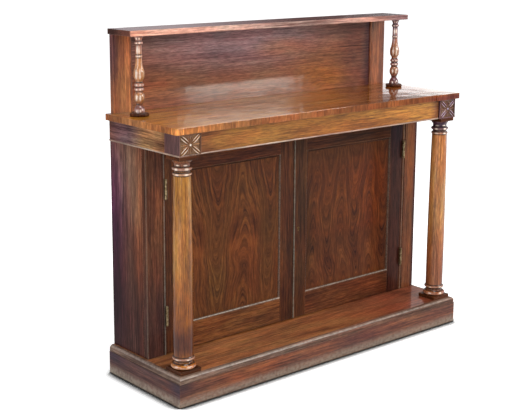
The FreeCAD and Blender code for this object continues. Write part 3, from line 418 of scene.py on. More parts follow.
def crossbanded(tree, colour, place, look, seed):
    """Short pieces of veneer, their grain upright, along a board's upright faces."""
    normal = tree.split(tree.normal())
    upright = tree.math("LESS_THAN", tree.math("ABSOLUTE", normal[2]), UPRIGHT)
    split = tree.split(place)
    run = tree.math("ADD", split[0], split[1])
    piece = tree.math("FLOOR", tree.math("MULTIPLY_ADD", run, BANDS_PER_METRE, FIRST_BAND))
    tone = tree.add("TexWhiteNoise", {1: piece}, noise_dimensions="1D").outputs[0]
    across = tree.math("MULTIPLY", run, BAND_STRETCH)
    band, _ = grain_colour(tree, tree.joined(across, tone, split[2]), look,
                           seed + BAND_SEED)
    return tree.mix(upright, colour, tree.shaded(band, tree.step(tone, *BAND_SHADES)))


def relief_light_and_shade(tree, colour, place, back):
    """Carving: painted shade on its ground, painted highlights on its crests."""
    depth = tree.split(place)[1]
    for (low, high, *shares), tint in ((GROUND_SHADE_STEP, GRIME_AND_SHADE), (CREST_HIGHLIGHT_STEP, PAINTED_CREST_HIGHLIGHT)):
        colour = tree.mix(tree.step(depth, back - low, back - high, *shares), colour, tint)
    return colour


def wood(name, look, grain, seed, flame, washes, colour_patches, edge_wear_and_sheen, grime_and_shade, edge_look, relief):
    """Polished wood. A flame gives figure, edge_look a crossband on upright edges, and relief
    the depth of its carving's back."""
    look = LOOKS[look]
    material, tree, surface = new_material(name)
    place = tree.place()
    local = wavy(tree, board_place(tree, place, grain), seed)
    if flame:
        local = flamed(tree, local, flame, seed)
    colour, height = grain_colour(tree, local, look, seed)
    if edge_look:
        colour = crossbanded(tree, colour, place, LOOKS[edge_look], seed)
    if relief:
        colour = relief_light_and_shade(tree, colour, place, relief)
    colour = patched(tree, washed(tree, colour, place, washes), place, colour_patches)
    if grime_and_shade:
        colour = grimed_and_shaded(tree, colour, grime_and_shade, CARVED_HOLLOW if relief else HOLLOW)
    if edge_wear_and_sheen:
        colour = worn_and_highlit_edges(tree, colour, edge_wear_and_sheen)
    finish(tree, surface, colour, height, look, place)
    return material


def metal(name, clean, dull, seed):
    """Old metal, dulled and browned in patches."""
    material, tree, surface = new_material(name)
    place = tree.place()
    patches = tree.noise(place, TARNISH, seed)
    scratches = tree.noise(place, SCRATCHES, seed)
    colour = tree.mix(tree.step(patches, *TARNISH_STEP), dull, clean)
    tree.link(grimed_and_shaded(tree, colour, METAL_GRIME_AND_SHADE, METAL_HOLLOW), surface, "Base Color")
    rough = tree.step(patches, *DULL_STEP, METAL_ROUGHNESS + DULLNESS, METAL_ROUGHNESS)
    tree.link(rough, surface, "Roughness")
    surface.inputs["Metallic"].default_value = 1.0
    tree.link(tree.bump(scratches, SCRATCH_BUMP, SCRATCH_HEIGHT), surface, "Normal")
    return material


def dress(name, material):
    """Give a CAD node its material."""
    for slot in frame["nodes"][name].material_slots:
        slot.link = "DATA"
        slot.material = material


# --- Woods of the nodes -----------------------------------------------------------------

# Look, and direction of the grain: "run" follows each length of a moulding.
WOODS = {
    "plinth_front": ("plinth", "X"), "plinth_back": ("secondary", "X"),
    "plinth_side_left": ("plinth", "Y"), "plinth_side_right": ("plinth", "Y"),
    "base_board": ("base", "X"), "base_mouldings": ("moulding", "run"),
    "cupboard_side_left": ("end", "Z"), "cupboard_side_right": ("end", "Z"),
    "pilaster_left": ("post", "Z"), "pilaster_right": ("post", "Z"),
    "head_rail": ("frame", "X"), "cupboard_floor": ("secondary", "X"),
    "cupboard_ceiling": ("secondary", "X"), "back_boards": ("secondary", "Z"),
    "inner_shelf": ("secondary", "X"), "frieze_front": ("frieze", "X"),
    "frieze_side_left": ("end", "Y"), "frieze_side_right": ("end", "Y"),
    "frieze_back": ("secondary", "X"), "frieze_beads": ("bead", "run"),
    "corner_block_left": ("block", "Z"), "corner_block_right": ("block", "Z"),
    "paterae": ("carved", "Z"), "main_top": ("top", "X"),
    "column_pads": ("frame", "X"), "column_abaci": ("frame", "X"),
    "column_left": ("column", "Z"), "column_right": ("column", "Z"),
    "gallery_upright_left": ("upright", "Z"), "gallery_upright_right": ("upright", "Z"),
    "gallery_panel": ("gallery", "X"), "gallery_shelf": ("shelf", "X"),
    "baluster_feet": ("frame", "Z"), "baluster_left": ("turned", "Z"),
    "baluster_right": ("turned", "Z"),
}
for side in ("left", "right"):
    WOODS["door_hinge_stile_" + side] = ("frame", "Z")
    WOODS["door_meeting_stile_" + side] = ("frame", "Z")
    WOODS["door_bottom_rail_" + side] = ("rail", "X")
    WOODS["door_top_rail_" + side] = ("frame", "X")
    WOODS["door_panel_" + side] = ("figured", "Z")
    WOODS["door_panel_beads_" + side] = ("door_bead", "run")

# A crest's place across the board, the spacing between crests, and how fast the rings climb
# along the grain.
FLAMES = {"door_panel_left": (-0.23, 0.23, 0.10), "door_panel_right": (0.10, 0.145, 0.09)}
BANDS = {"main_top": "crossband"}
# How strongly hollows darken: dark wax and dust, and painted shade.
GRIME_AND_SHADE_STRENGTHS = {"paterae": 0.95, "column_left": 0.8, "column_right": 0.8, "baluster_left": 0.9,
          "baluster_right": 0.9, "base_mouldings": 0.5, "corner_block_left": 0.5,
          "corner_block_right": 0.5, "frieze_beads": 0.4, "pilaster_left": 0.5,
          "pilaster_right": 0.5}
# How pale the edges turn: partly wear, partly painted highlight.
USUAL_EDGE_WEAR_AND_SHEEN = 0.3
EDGE_WEAR_AND_SHEEN = {"plinth_front": 0.1, "plinth_side_left": 0.1, "plinth_side_right": 0.1}
FAR = 9.0  # a reach that covers a whole board
# Patches that tint the wood, partly its own tone and partly painted light, shade and reflections:
# middle, reach and gain.
WASHES = {
    "plinth_front": [((-0.65, -0.198, 0.065), (0.10, FAR, 0.045), (0.35, 0.45, 0.9)),
                     ((-0.36, -0.198, 0.05), (0.22, FAR, 0.07), (1.4, 1.15, 0.75)),
                     ((0.15, -0.198, 0.04), (0.20, FAR, 0.06), (0.85, 0.75, 0.95))],
    "plinth_side_left": [((-0.65, 0.0, 0.0), (FAR, FAR, FAR), (0.63, 0.63, 0.88)),
                         ((-0.65, 0.0, 0.08), (FAR, 0.16, 0.05), (1.2, 1.4, 1.6)),
                         ((-0.65, 0.198, 0.075), (FAR, 0.14, 0.050), (0.5, 0.6, 1.5)),
                         ((-0.65, -0.198, 0.06), (FAR, 0.08, 0.050), (0.5, 0.65, 1.4))],
    "plinth_side_right": [((0.65, 0.198, 0.075), (FAR, 0.14, 0.050), (0.5, 0.6, 1.2))],
    "cupboard_side_left": [((-0.63, 0.1, 0.12), (FAR, FAR, 0.42), (0.5, 0.42, 0.6)),
                           ((-0.63, 0.12, 0.68), (FAR, 0.16, 0.30), (1.75, 2.3, 2.8)),
                           ((-0.63, 0.198, 0.45), (FAR, 0.13, 0.60), (0.42, 0.22, 1.0)),
                           ((-0.63, 0.02, 0.45), (FAR, 0.08, 0.60), (1.25, 1.0, 0.75)),
                           # Painted reflection: a pale upright streak high on the side.
                           ((-0.63, 0.14, 0.67), (FAR, 0.02, 0.10), (1.4, 1.4, 1.4))],
    "cupboard_side_right": [((0.63, 0.198, 0.45), (FAR, 0.11, 0.60), (0.6, 0.5, 0.9)),
                            ((0.63, 0.02, 0.45), (FAR, 0.08, 0.60), (1.2, 1.0, 0.8))],
    "frieze_front": [((0.35, -0.173, 0.825), (0.45, FAR, FAR), (1.25, 1.3, 1.3)),
                     ((-0.35, -0.173, 0.825), (0.35, FAR, FAR), (0.85, 0.85, 0.9)),
                     ((-0.548, -0.173, 0.825), (0.09, FAR, FAR), (0.8, 0.7, 0.85)),
                     ((0.548, -0.173, 0.825), (0.05, FAR, FAR), (0.5, 0.42, 0.8))],
    "frieze_side_left": [((-0.632, -0.03, 0.825), (FAR, 0.12, FAR), (3.0, 4.0, 3.2)),
                         ((-0.632, 0.12, 0.825), (FAR, 0.12, 0.09), (1.1, 1.5, 3.0))],
    "corner_block_left": [((-0.632, -0.14, 0.825), (0.006, FAR, FAR), (0.55, 0.5, 0.9)),
                          ((-0.632, -0.15, 0.825), (0.15, FAR, FAR), (0.95, 0.9, 1.1))],
    "corner_block_right": [((0.59, -0.15, 0.825), (FAR, FAR, FAR), (0.75, 0.7, 1.9))],
    "paterae": [((0.59, -0.15, 0.825), (0.2, FAR, FAR), (0.54, 0.5, 0.88))],
    "main_top": [((-0.60, -0.1, 0.88), (0.34, 0.3, FAR), (1.45, 1.5, 1.3)),
                 ((0.646, -0.19, 0.867), (0.30, 0.04, 0.016), (0.58, 0.5, 1.35)),
                 ((0.45, 0.0, 0.88), (0.50, FAR, FAR), (0.72, 0.58, 0.45)),
                 ((-0.62, -0.18, 0.867), (0.12, 0.06, 0.016), (1.8, 1.9, 1.7)),
                 # Painted light: the top lightened where the left baluster's shadow falls.
                 ((-0.57, 0.04, 0.88), (0.14, 0.10, FAR), (1.3, 1.45, 1.8))],
    "gallery_panel": [((-0.10, 0.186, 1.10), (0.60, FAR, 0.15), (1.5, 2.15, 4.2)),
                      ((0.10, 0.186, 1.05), (0.18, FAR, 0.05), (1.3, 1.05, 0.7)),
                      ((0.30, 0.186, 0.98), (0.22, FAR, 0.14), (1.1, 0.98, 0.7)),
                      ((0.48, 0.186, 1.0), (0.14, FAR, FAR), (0.8, 0.7, 0.8)),
                      # Painted shadow along the panel's right end, by the upright.
                      ((0.551, 0.186, 1.0), (0.04, FAR, FAR), (0.6, 0.5, 0.8)),
                      ((-0.50, 0.186, 0.92), (0.25, FAR, 0.12), (1.5, 1.2, 0.86)),
                      ((0.30, 0.186, 0.92), (0.22, FAR, 0.08), (1.25, 1.0, 0.45)),
                      ((0.44, 0.186, 1.035), (0.12, FAR, 0.0035), (0.25, 0.2, 0.2))],
    "gallery_upright_left": [((-0.565, 0.18, 1.0), (0.024, FAR, FAR), (1.8, 1.8, 1.6)),
                             ((-0.625, 0.18, 1.10), (0.03, FAR, 0.20), (0.45, 0.38, 1.0)),
                             # Painted shadow along the upright's edge beside the panel.
                             ((-0.5535, 0.18, 1.0), (0.004, FAR, FAR), (0.5, 0.5, 0.6))],
    "gallery_upright_right": [((0.57, 0.18, 1.0), (0.04, FAR, FAR), (1.15, 1.15, 1.1)),
                              ((0.5535, 0.18, 1.0), (0.004, FAR, FAR), (1.6, 1.6, 1.6)),
                              ((0.61, 0.18, 1.0), (0.02, FAR, FAR), (0.7, 0.65, 0.7))],
    "gallery_shelf": [((0.0, 0.066, 1.143), (FAR, 0.008, FAR), (3.8, 5.2, 6.0)),
                      ((-0.632, 0.066, 1.143), (0.40, 0.008, FAR), (1.15, 1.15, 1.1)),
                      ((0.06, 0.066, 1.143), (0.40, 0.008, FAR), (0.66, 0.74, 0.8)),
                      ((0.62, 0.066, 1.143), (0.20, FAR, FAR), (0.42, 0.36, 0.45)),
                      ((-0.632, 0.13, 1.143), (0.10, FAR, FAR), (0.75, 0.65, 0.6)),
                      ((-0.632, 0.198, 1.143), (0.01, 0.10, FAR), (0.4, 0.35, 0.35))],
    "column_left": [((-0.594, -0.142, 0.24), (FAR, FAR, 0.24), (0.62, 0.40, 0.2)),
                    ((-0.594, -0.142, 0.195), (FAR, FAR, 0.075), (0.36, 0.25, 0.34)),
                    ((-0.594, -0.142, 0.119), (FAR, FAR, 0.018), (1.5, 1.5, 1.6)),
                    # Painted shade: a darker upright strip down the left column's front.
                    ((-0.575, -0.164, 0.45), (0.016, 0.016, FAR), (0.7, 0.68, 0.62)),
                    ((-0.594, -0.142, 0.760), (FAR, FAR, 0.040), (0.5, 0.38, 1.0))],
    "column_right": [((0.594, -0.142, 0.45), (FAR, FAR, FAR), (1.1, 1.15, 2.3)),
                     # Painted light and shade: a lighter and a darker upright strip down the
                     # right column's front.
                     ((0.562, -0.152, 0.45), (0.035, 0.035, FAR), (1.3, 1.4, 1.5)),
                     ((0.612, -0.163, 0.45), (0.022, 0.022, FAR), (0.7, 0.65, 0.7)),
                     ((0.594, -0.142, 0.16), (FAR, FAR, 0.26), (0.58, 0.42, 0.5)),
                     ((0.594, -0.142, 0.760), (FAR, FAR, 0.040), (0.2, 0.16, 0.75))],
    "baluster_left": [((-0.588, 0.089, 0.905), (FAR, FAR, 0.03), (0.55, 0.5, 1.1)),
                      ((-0.588, 0.089, 0.973), (FAR, FAR, 0.025), (0.75, 0.7, 1.3)),
                      ((-0.588, 0.089, 1.12), (FAR, FAR, 0.06), (0.75, 0.68, 1.2))],
    "baluster_right": [((0.588, 0.089, 0.905), (FAR, FAR, 0.035), (0.42, 0.36, 0.9)),
                       ((0.588, 0.089, 1.0), (FAR, FAR, FAR), (0.9, 0.75, 0.95)),
                       ((0.588, 0.089, 0.973), (FAR, FAR, 0.025), (0.7, 0.62, 1.3)),
                       ((0.588, 0.089, 1.11), (FAR, FAR, 0.08), (0.5, 0.42, 1.2))],
    "pilaster_left": [((-0.6, 0.0, 0.20), (FAR, FAR, 0.30), (0.4, 0.42, 0.75))],
    "pilaster_right": [((0.60, 0.0, 0.45), (0.02, FAR, FAR), (1.2, 1.1, 0.9)),
                       ((0.59, 0.0, 0.62), (0.03, FAR, 0.30), (1.15, 1.2, 1.0)),
                       ((0.63, 0.0, 0.45), (0.018, FAR, FAR), (0.32, 0.25, 0.6))],
    "base_mouldings": [((0.35, -0.19, 0.09), (0.75, 0.1, FAR), (0.9, 0.68, 0.6))],
    "base_board": [((0.55, -0.1, 0.098), (0.60, FAR, FAR), (0.8, 0.58, 0.85))],
    "door_meeting_stile_right": [((0.035, 0.0, 0.45), (0.03, FAR, FAR), (0.75, 0.85, 0.95))],
    "door_hinge_stile_right": [((0.52, 0.0, 0.45), (0.07, FAR, FAR), (0.75, 0.72, 1.4)),
                               ((0.52, 0.0, 0.79), (0.08, FAR, 0.26), (0.45, 0.42, 1.15))],
    "door_top_rail_left": [((-0.27, 0.0, 0.75), (FAR, FAR, FAR), (1.35, 1.1, 1.0))],
    "door_panel_left": [((-0.36, 0.01, 0.30), (0.20, FAR, 0.16), (0.95, 1.1, 1.1)),
                        ((-0.12, 0.01, 0.42), (0.06, FAR, 0.20), (0.75, 0.8, 0.8))],
    "door_bottom_rail_left": [((-0.27, 0.0, 0.15), (FAR, FAR, FAR), (1.1, 1.2, 1.4))],
    "door_bottom_rail_right": [((0.27, 0.0, 0.15), (FAR, FAR, FAR), (0.85, 0.8, 1.15))],
    "door_panel_right": [((0.27, 0.0, 0.45), (FAR, FAR, FAR), (0.84, 0.8, 0.85)),
                         ((0.27, 0.0, 0.50), (0.30, FAR, 0.12), (1.25, 1.35, 1.2)),
                         ((0.27, 0.0, 0.70), (FAR, FAR, 0.16), (0.82, 0.82, 0.82)),
                         ((0.27, 0.0, 0.27), (FAR, FAR, 0.16), (0.82, 0.82, 0.95)),
                         ((0.40, 0.01, 0.50), (0.20, FAR, 0.30), (1.12, 0.92, 0.85)),
                         ((0.07, 0.01, 0.40), (0.05, FAR, 0.35), (0.65, 0.75, 0.75))],
}

# Bands and spots of a turned piece: the heights of its grooves, darkened with painted shade and
# dark wax, and of its rings, paled with painted highlights; its glints, painted highlights, as
# (height, reach up and down, radius); the directions that the glints face; and how wide they are.
Turning = namedtuple("Turning", "grooves rings glints sides wide")
TURNINGS = {
    "baluster_": Turning(
        (0.918, 0.9585, 0.9725, 0.9875, 1.065, 1.0745, 1.1065, 1.1175),
        (0.900, 0.965, 0.979, 1.0697, 1.112),
        ((0.898, 0.007, 0.0185), (0.940, 0.016, 0.0165), (0.9655, 0.0045, 0.0158),
         (0.9795, 0.0045, 0.0158), (1.016, 0.036, 0.0165), (1.07, 0.0045, 0.0113),
         (1.09, 0.017, 0.0099), (1.1115, 0.0045, 0.0139), (1.125, 0.006, 0.0125)),
        ((-0.92, -0.39), (-0.40, -0.92)), 0.0045),
    "column_": Turning(
        (0.1275, 0.1335, 0.138, 0.1485, 0.7272, 0.737, 0.7425, 0.756),
        (0.117, 0.1425, 0.732, 0.749),
        ((0.120, 0.0045, 0.0390), (0.1425, 0.0035, 0.0360), (0.7318, 0.0045, 0.0302),
         (0.7485, 0.006, 0.0316), (0.7605, 0.0035, 0.0255)),
        ((-0.95, -0.31), (-0.18, -0.98)), 0.010),
}
RING_HIGHLIGHT_STRENGTHS = {"left": 0.4, "right": 0.2}
RING_HIGHLIGHT_REACH = 0.0055  # reach of the painted highlight on a ring
GROOVE_SHADE_REACH = 0.0032  # reach of the painted shade and dark wax about a groove
GLINT_STRENGTH = 0.85
GROOVE_SHADE_STRENGTH = 0.9

# Painted reflection of the pale floor, paler towards the plinth's foot, and how strongly on each
# board.
FLOOR_REFLECTION_STRENGTHS = {"plinth_front": 0.62, "plinth_side_left": 0.85, "plinth_side_right": 0.62}
FLOOR_REFLECTION_REACH = 0.042
CONTACT_SHADOW_LINE = 0.005  # reach of the painted contact shadow along the floor
PLINTH_TOP = 0.08
LIP_SHADE_REACH = 0.012  # of the painted shade under the plinth's top
LIP_SHADE_STRENGTH = 0.5

# Patches of another colour over the wood, most of them painted highlights: middle, reach, colour
# and strength.
COLOUR_PATCHES = {
    # Painted highlight along the moulding's upper curve.
    "base_mouldings": [((0, 0, 0.0935), (FAR, FAR, 0.0045), PAINTED_MOULDING_HIGHLIGHT, 0.3)],
    # Painted highlights along the door beads' lower and right-hand edges.
    "door_panel_beads_left": [((0, 0, 0.1895), (FAR, FAR, 0.0029), PAINTED_BEAD_HIGHLIGHT, 0.42),
                              ((-0.0645, 0, 0), (0.0034, FAR, FAR), PAINTED_BEAD_HIGHLIGHT, 0.13)],
    "door_panel_beads_right": [((0, 0, 0.1895), (FAR, FAR, 0.0029), PAINTED_BEAD_HIGHLIGHT, 0.3),
                               ((0.4853, 0, 0), (0.0034, FAR, FAR), PAINTED_BEAD_HIGHLIGHT, 0.1)],
    # Painted highlights on the meeting stile's bead, the pilasters' beads and the left pilaster's
    # corner.
    "door_meeting_stile_right": [((0.003, 0.001, 0), (0.005, 0.006, FAR), DULL_PAINTED_HIGHLIGHT, 0.38)],
    "pilaster_left": [((-0.5595, 0.001, 0), (0.0045, 0.006, FAR), DULL_PAINTED_HIGHLIGHT, 0.3),
                      ((-0.63, 0.001, 0), (0.005, 0.005, FAR), DULL_PAINTED_HIGHLIGHT, 0.12)],
    "pilaster_right": [((0.5595, 0.001, 0), (0.004, 0.006, FAR), DULL_PAINTED_HIGHLIGHT, 0.2)],
    "column_right": [((0, 0, 0.760), (FAR, FAR, 0.040), INKY, 0.75)],
}


def foot_light_and_shade(strength):
    """A plinth board's painted floor reflection, painted contact shadow and painted shade under
    its top.
    """
    return [((0, 0, 0.0), (FAR, FAR, FLOOR_REFLECTION_REACH), PAINTED_FLOOR_REFLECTION, strength),
            ((0, 0, 0.0), (FAR, FAR, CONTACT_SHADOW_LINE), GRIME_AND_SHADE, 1.0),
            ((0, 0, PLINTH_TOP), (FAR, FAR, LIP_SHADE_REACH), GRIME_AND_SHADE, LIP_SHADE_STRENGTH)]


def turning_light_and_shade(node, turning, strength):
    """A turned piece's painted highlights on its rings and glints, painted shade and dark wax in
    its grooves.
    """
    low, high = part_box(node)
    middle = (low + high) / 2
    colour_patches = [((0, 0, height), (FAR, FAR, RING_HIGHLIGHT_REACH), PAINTED_RING_HIGHLIGHT, strength)
             for height in turning.rings]
    colour_patches += [((middle.x + radius * x, middle.y + radius * y, height),
               (turning.wide, turning.wide, tall), PAINTED_GLINT, GLINT_STRENGTH)
              for height, tall, radius in turning.glints for x, y in turning.sides]
    colour_patches += [((0, 0, height), (FAR, FAR, GROOVE_SHADE_REACH), GRIME_AND_SHADE, GROOVE_SHADE_STRENGTH)
              for height in turning.grooves]
    return colour_patches


# Painted floor reflection, contact shadow and shade under the top, on each plinth board.
for node, strength in FLOOR_REFLECTION_STRENGTHS.items():
    COLOUR_PATCHES[node] = foot_light_and_shade(strength)
# Painted highlights on rings and glints, painted shade and dark wax in grooves.
for kind, turning in TURNINGS.items():
    for side, strength in RING_HIGHLIGHT_STRENGTHS.items():
        node = kind + side
        COLOUR_PATCHES[node] = COLOUR_PATCHES.get(node, []) + turning_light_and_shade(node, turning, strength)

RELIEFS = {"paterae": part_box("paterae")[1].y}
SEED_STEP = 3.7  # between one wood's seed and the next
METAL_SEED_STEP = 5.3

for number, (name, (look, grain)) in enumerate(WOODS.items()):
    dress(name, wood(name + "_wood", look, grain, number * SEED_STEP, FLAMES.get(name),
                     WASHES.get(name, ()), COLOUR_PATCHES.get(name, ()), EDGE_WEAR_AND_SHEEN.get(name, USUAL_EDGE_WEAR_AND_SHEEN),
                     GRIME_AND_SHADE_STRENGTHS.get(name, 0.0), BANDS.get(name), RELIEFS.get(name)))

METALS = [name for name in frame["nodes"] if name not in WOODS]
for number, name in enumerate(METALS):
    clean, dull = (TARNISHED, DARK_BRASS) if "hinge" in name else (BRASS, DULL_BRASS)
    dress(name, metal(name + "_metal", clean, dull, number * METAL_SEED_STEP))

# --- Boards with softened edges ---------------------------------------------------------

EDGE_RADIUS = 0.0009
SHORTEST_EDGE = 0.012
SHARP = math.radians(35)
FLAT = math.radians(0.5)
SAME_POINT = 1e-6
EDGE_SEGMENTS = 2
EDGE_PROFILE = 0.5  # round

BOARDS = ["plinth_front", "plinth_side_left", "plinth_side_right", "plinth_back", "base_board",
          "cupboard_side_left", "cupboard_side_right", "pilaster_left", "pilaster_right",
          "head_rail", "inner_shelf", "frieze_front", "frieze_side_left",
          "frieze_side_right", "corner_block_left", "corner_block_right", "main_top",
          "column_pads", "column_abaci", "gallery_upright_left", "gallery_upright_right",
          "gallery_panel", "gallery_shelf"]
BOARDS += [part + side for side in ("left", "right") for part in (
    "door_hinge_stile_", "door_meeting_stile_", "door_bottom_rail_", "door_top_rail_")]


def stand_for(name, mesh, node):
    """Put a finer mesh in a CAD node's place, on its body and its material."""
    mesh.materials.append(frame["nodes"][node].material_slots[0].material)
    piece = bpy.data.objects.new(name, mesh)
    bpy.context.scene.collection.objects.link(piece)
    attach(piece, frame["nodes"][node]["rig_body"])
    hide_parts(node)


def softened(node):
    """A board with its long sharp edges eased, as by sanding and years of dusting."""
    shape = bmesh.new()
    shape.from_mesh(frame["nodes"][node].data)
    bmesh.ops.remove_doubles(shape, verts=shape.verts, dist=SAME_POINT)
    bmesh.ops.dissolve_limit(shape, angle_limit=FLAT, verts=shape.verts, edges=shape.edges)
    edges = [edge for edge in shape.edges if edge.is_manifold
             and edge.calc_face_angle_signed(0) > SHARP and edge.calc_length() > SHORTEST_EDGE]
    bmesh.ops.bevel(shape, geom=edges, offset=EDGE_RADIUS, segments=EDGE_SEGMENTS,
                    profile=EDGE_PROFILE, affect="EDGES", clamp_overlap=True)
    mesh = bpy.data.meshes.new(node + "_softened")
    shape.to_mesh(mesh)
    shape.free()
    stand_for(node + "_softened", mesh, node)


# --- Carving on the corner blocks -------------------------------------------------------

CARVING_STEP = 0.0007
GROUND = 0.0008  # height of the carving's ground over its back
MARGIN = 0.002  # from a leaf's tip to the edge of the field

LONG_LEAF_START = 0.004
LONG_LEAF_HALF = 0.0080  # half its width
LONG_LEAF_HEIGHT = 0.0050
ROLL_MIDDLE = 0.55  # where a long leaf's rolls are highest, as a share of its half width
ROLL_SPREAD = 0.30
GROOVE_REACH = 0.0023
SMALL_LEAF_HEIGHT = 0.0042
# The small leaves in each quarter: turn from its middle, start, share of its reach, half width.
SMALL_LEAVES = ((0, 0.006, 1.0, 0.0034), (-0.36, 0.011, 0.86, 0.0026),
                (0.36, 0.011, 0.86, 0.0026))
LEAF_RISE = 0.6  # powers of the distance from a leaf's root and to its tip
LEAF_FALL = 0.4
LEAF_FULLNESS = 1.75
BOSS_RADIUS = 0.0052
BOSS_HEIGHT = 0.0055


def lens(share):
    """A leaf's width along its length, as a share of its widest."""
    if not 0 < share < 1:
        return 0.0
    return min(1.0, LEAF_FULLNESS * share ** LEAF_RISE * (1 - share) ** LEAF_FALL)


def long_leaf(along, off, reach):
    """Height of a corner leaf folded along its middle: two rolls beside a deep groove."""
    half = LONG_LEAF_HALF * lens((along - LONG_LEAF_START) / (reach - LONG_LEAF_START))
    if abs(off) >= half:
        return 0.0
    roll = 1 - (abs(off) / half - ROLL_MIDDLE) ** 2 / ROLL_SPREAD
    groove = math.exp(-(off / GROOVE_REACH) ** 2)
    return LONG_LEAF_HEIGHT * max(0.0, roll) * (1 - groove)


def small_leaf(along, off, start, reach, widest):
    """Height of a ridged leaf between the corner leaves."""
    half = widest * lens((along - start) / (reach - start))
    return SMALL_LEAF_HEIGHT * (1 - abs(off) / half) if abs(off) < half else 0.0


def turned_place(x, z, angle):
    """A place in the field as how far it lies along a direction, and off it."""
    return (x * math.cos(angle) + z * math.sin(angle), z * math.cos(angle) - x * math.sin(angle))


def carving_height(x, z, half_x, half_z):
    """Height of the carving over its ground at a place in the field, from its middle."""
    slope = math.atan2(half_z, half_x)
    height = 0.0
    for angle in (slope, math.pi - slope, math.pi + slope, -slope):
        along, off = turned_place(x, z, angle)
        if along > 0:
            height = max(height, long_leaf(along, off, math.hypot(half_x, half_z) - MARGIN))
    for quarter in range(4):
        reach = (half_x if quarter % 2 == 0 else half_z) - MARGIN
        for fan, start, share, widest in SMALL_LEAVES:
            along, off = turned_place(x, z, quarter * math.pi / 2 + fan)
            if along > 0:
                height = max(height, small_leaf(along, off, start, reach * share, widest))
    radius = math.hypot(x, z)
    if radius < BOSS_RADIUS:
        height = max(height, BOSS_HEIGHT * math.sqrt(1 - (radius / BOSS_RADIUS) ** 2))
    return height


def carved_field(verts, faces, low, high, back, front):
    """Add one carved field to a mesh: a fine grid over its ground, closed at the back."""
    middle_x, middle_z = (low[0] + high[0]) / 2, (low[1] + high[1]) / 2
    half_x, half_z = (high[0] - low[0]) / 2, (high[1] - low[1]) / 2
    columns = round(2 * half_x / CARVING_STEP)
    rows = round(2 * half_z / CARVING_STEP)
    first = len(verts)
    for row in range(rows + 1):
        for column in range(columns + 1):
            x = half_x * (2 * column / columns - 1)
            z = half_z * (2 * row / rows - 1)
            rim = row in (0, rows) or column in (0, columns)
            height = 0.0 if rim else GROUND + carving_height(x, z, half_x, half_z)
            verts.append((middle_x + x, max(front, back - height), middle_z + z))
    wide = columns + 1
    for row in range(rows):
        for column in range(columns):
            corner = first + row * wide + column
            faces.append((corner, corner + 1, corner + wide + 1, corner + wide))
    bottom = [first + i for i in range(wide)]
    right = [first + i * wide + columns for i in range(1, rows + 1)]
    top = [first + rows * wide + i for i in range(columns - 1, -1, -1)]
    left = [first + i * wide for i in range(rows - 1, 0, -1)]
    faces.append(tuple(reversed(bottom + right + top + left)))


def add_carvings():
    """Both corner blocks' carvings, let into the fields of the CAD's blocks."""
    low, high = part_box("paterae")
    verts, faces = [], []
    for block in ("corner_block_left", "corner_block_right"):
        block_low, block_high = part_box(block)
        border = block_high.x - high.x if block.endswith("right") else low.x - block_low.x
        carved_field(verts, faces, (block_low.x + border, low.z),
                     (block_high.x - border, high.z), high.y, low.y)
    mesh = bpy.data.meshes.new("carved_paterae")
    mesh.from_pydata(verts, [], faces)
    mesh.shade_smooth()
    stand_for("carved_paterae", mesh, "paterae")


for name in BOARDS:
    softened(name)
add_carvings()

# --- Studio -----------------------------------------------------------------------------

PAPER = (0.80, 0.80, 0.79, 1.0)
FLOOR_REACH = 30.0
FLOOR_ROUGHNESS = 0.9
CONTACT_SHADOW_REACH = 0.05  # of the painted contact shadow where the object stands
CONTACT_SHADOW_SHADES = (0.55, 0.92, 0.01, 1.0)
FLOOR_GLOW = (0.8, 2.2, 0.66, 1.0)  # distances from the object, and the strength there
AMBIENT = (0.95, 0.97, 1.0, 1.0)
AMBIENT_STRENGTH = 0.24
# The backdrop that polish mirrors, by its heading from behind the object to its right.
BACKDROP = ((0.55, screen(214, 208, 214)), (0.60, screen(200, 192, 198)),
            (0.64, screen(148, 138, 144)), (0.675, screen(72, 62, 70)),
            (0.715, screen(84, 78, 84)), (0.74, screen(150, 144, 148)),
            (0.76, screen(232, 230, 224)))
DIM_BACKDROP = screen(84, 74, 88)
BEHIND = 0.3  # a heading with more of +Y than this lies behind the object

DAYLIGHT = (1.0, 1.0, 1.0)
CREAM = (1.0, 0.93, 0.84)
SKY = (0.92, 0.95, 1.0)
MIDDLE = (0, 0, 0.6)  # the object's middle
# Lamps: name, place, target, size, power, colour, and whether polish mirrors them.
LAMPS = (
    ("key", (2.6, -3.4, 2.6), (0, 0, 0.5), (1.6, 1.3), 110, DAYLIGHT, True),
    ("window_above", (2.55, -3.0, 1.66), (2.55, 0, 1.66), (1.05, 0.20), 11, CREAM, True),
    ("window_below", (2.58, -3.0, 1.37), (2.58, 0, 1.37), (1.00, 0.10), 5.2, CREAM, True),
    ("card", (2.65, 1.85, 1.20), (0.55, -0.02, 0.94), (0.85, 0.14), 0.6, DAYLIGHT, True),
    ("right", (3.2, -1.2, 1.0), MIDDLE, (1.2, 1.6), 18, DAYLIGHT, True),
    ("by_camera", (-3.1, -2.7, 0.95), MIDDLE, (0.16, 1.7), 11, DAYLIGHT, True),
    ("left", (-3.3, -0.8, 1.2), MIDDLE, (1.5, 1.8), 46, SKY, True),
    ("above", (-0.3, -1.3, 3.2), MIDDLE, (1.6, 1.0), 34, DAYLIGHT, True),
    ("behind", (0, 3.6, 1.6), MIDDLE, (1.6, 1.4), 55, DAYLIGHT, False),
)


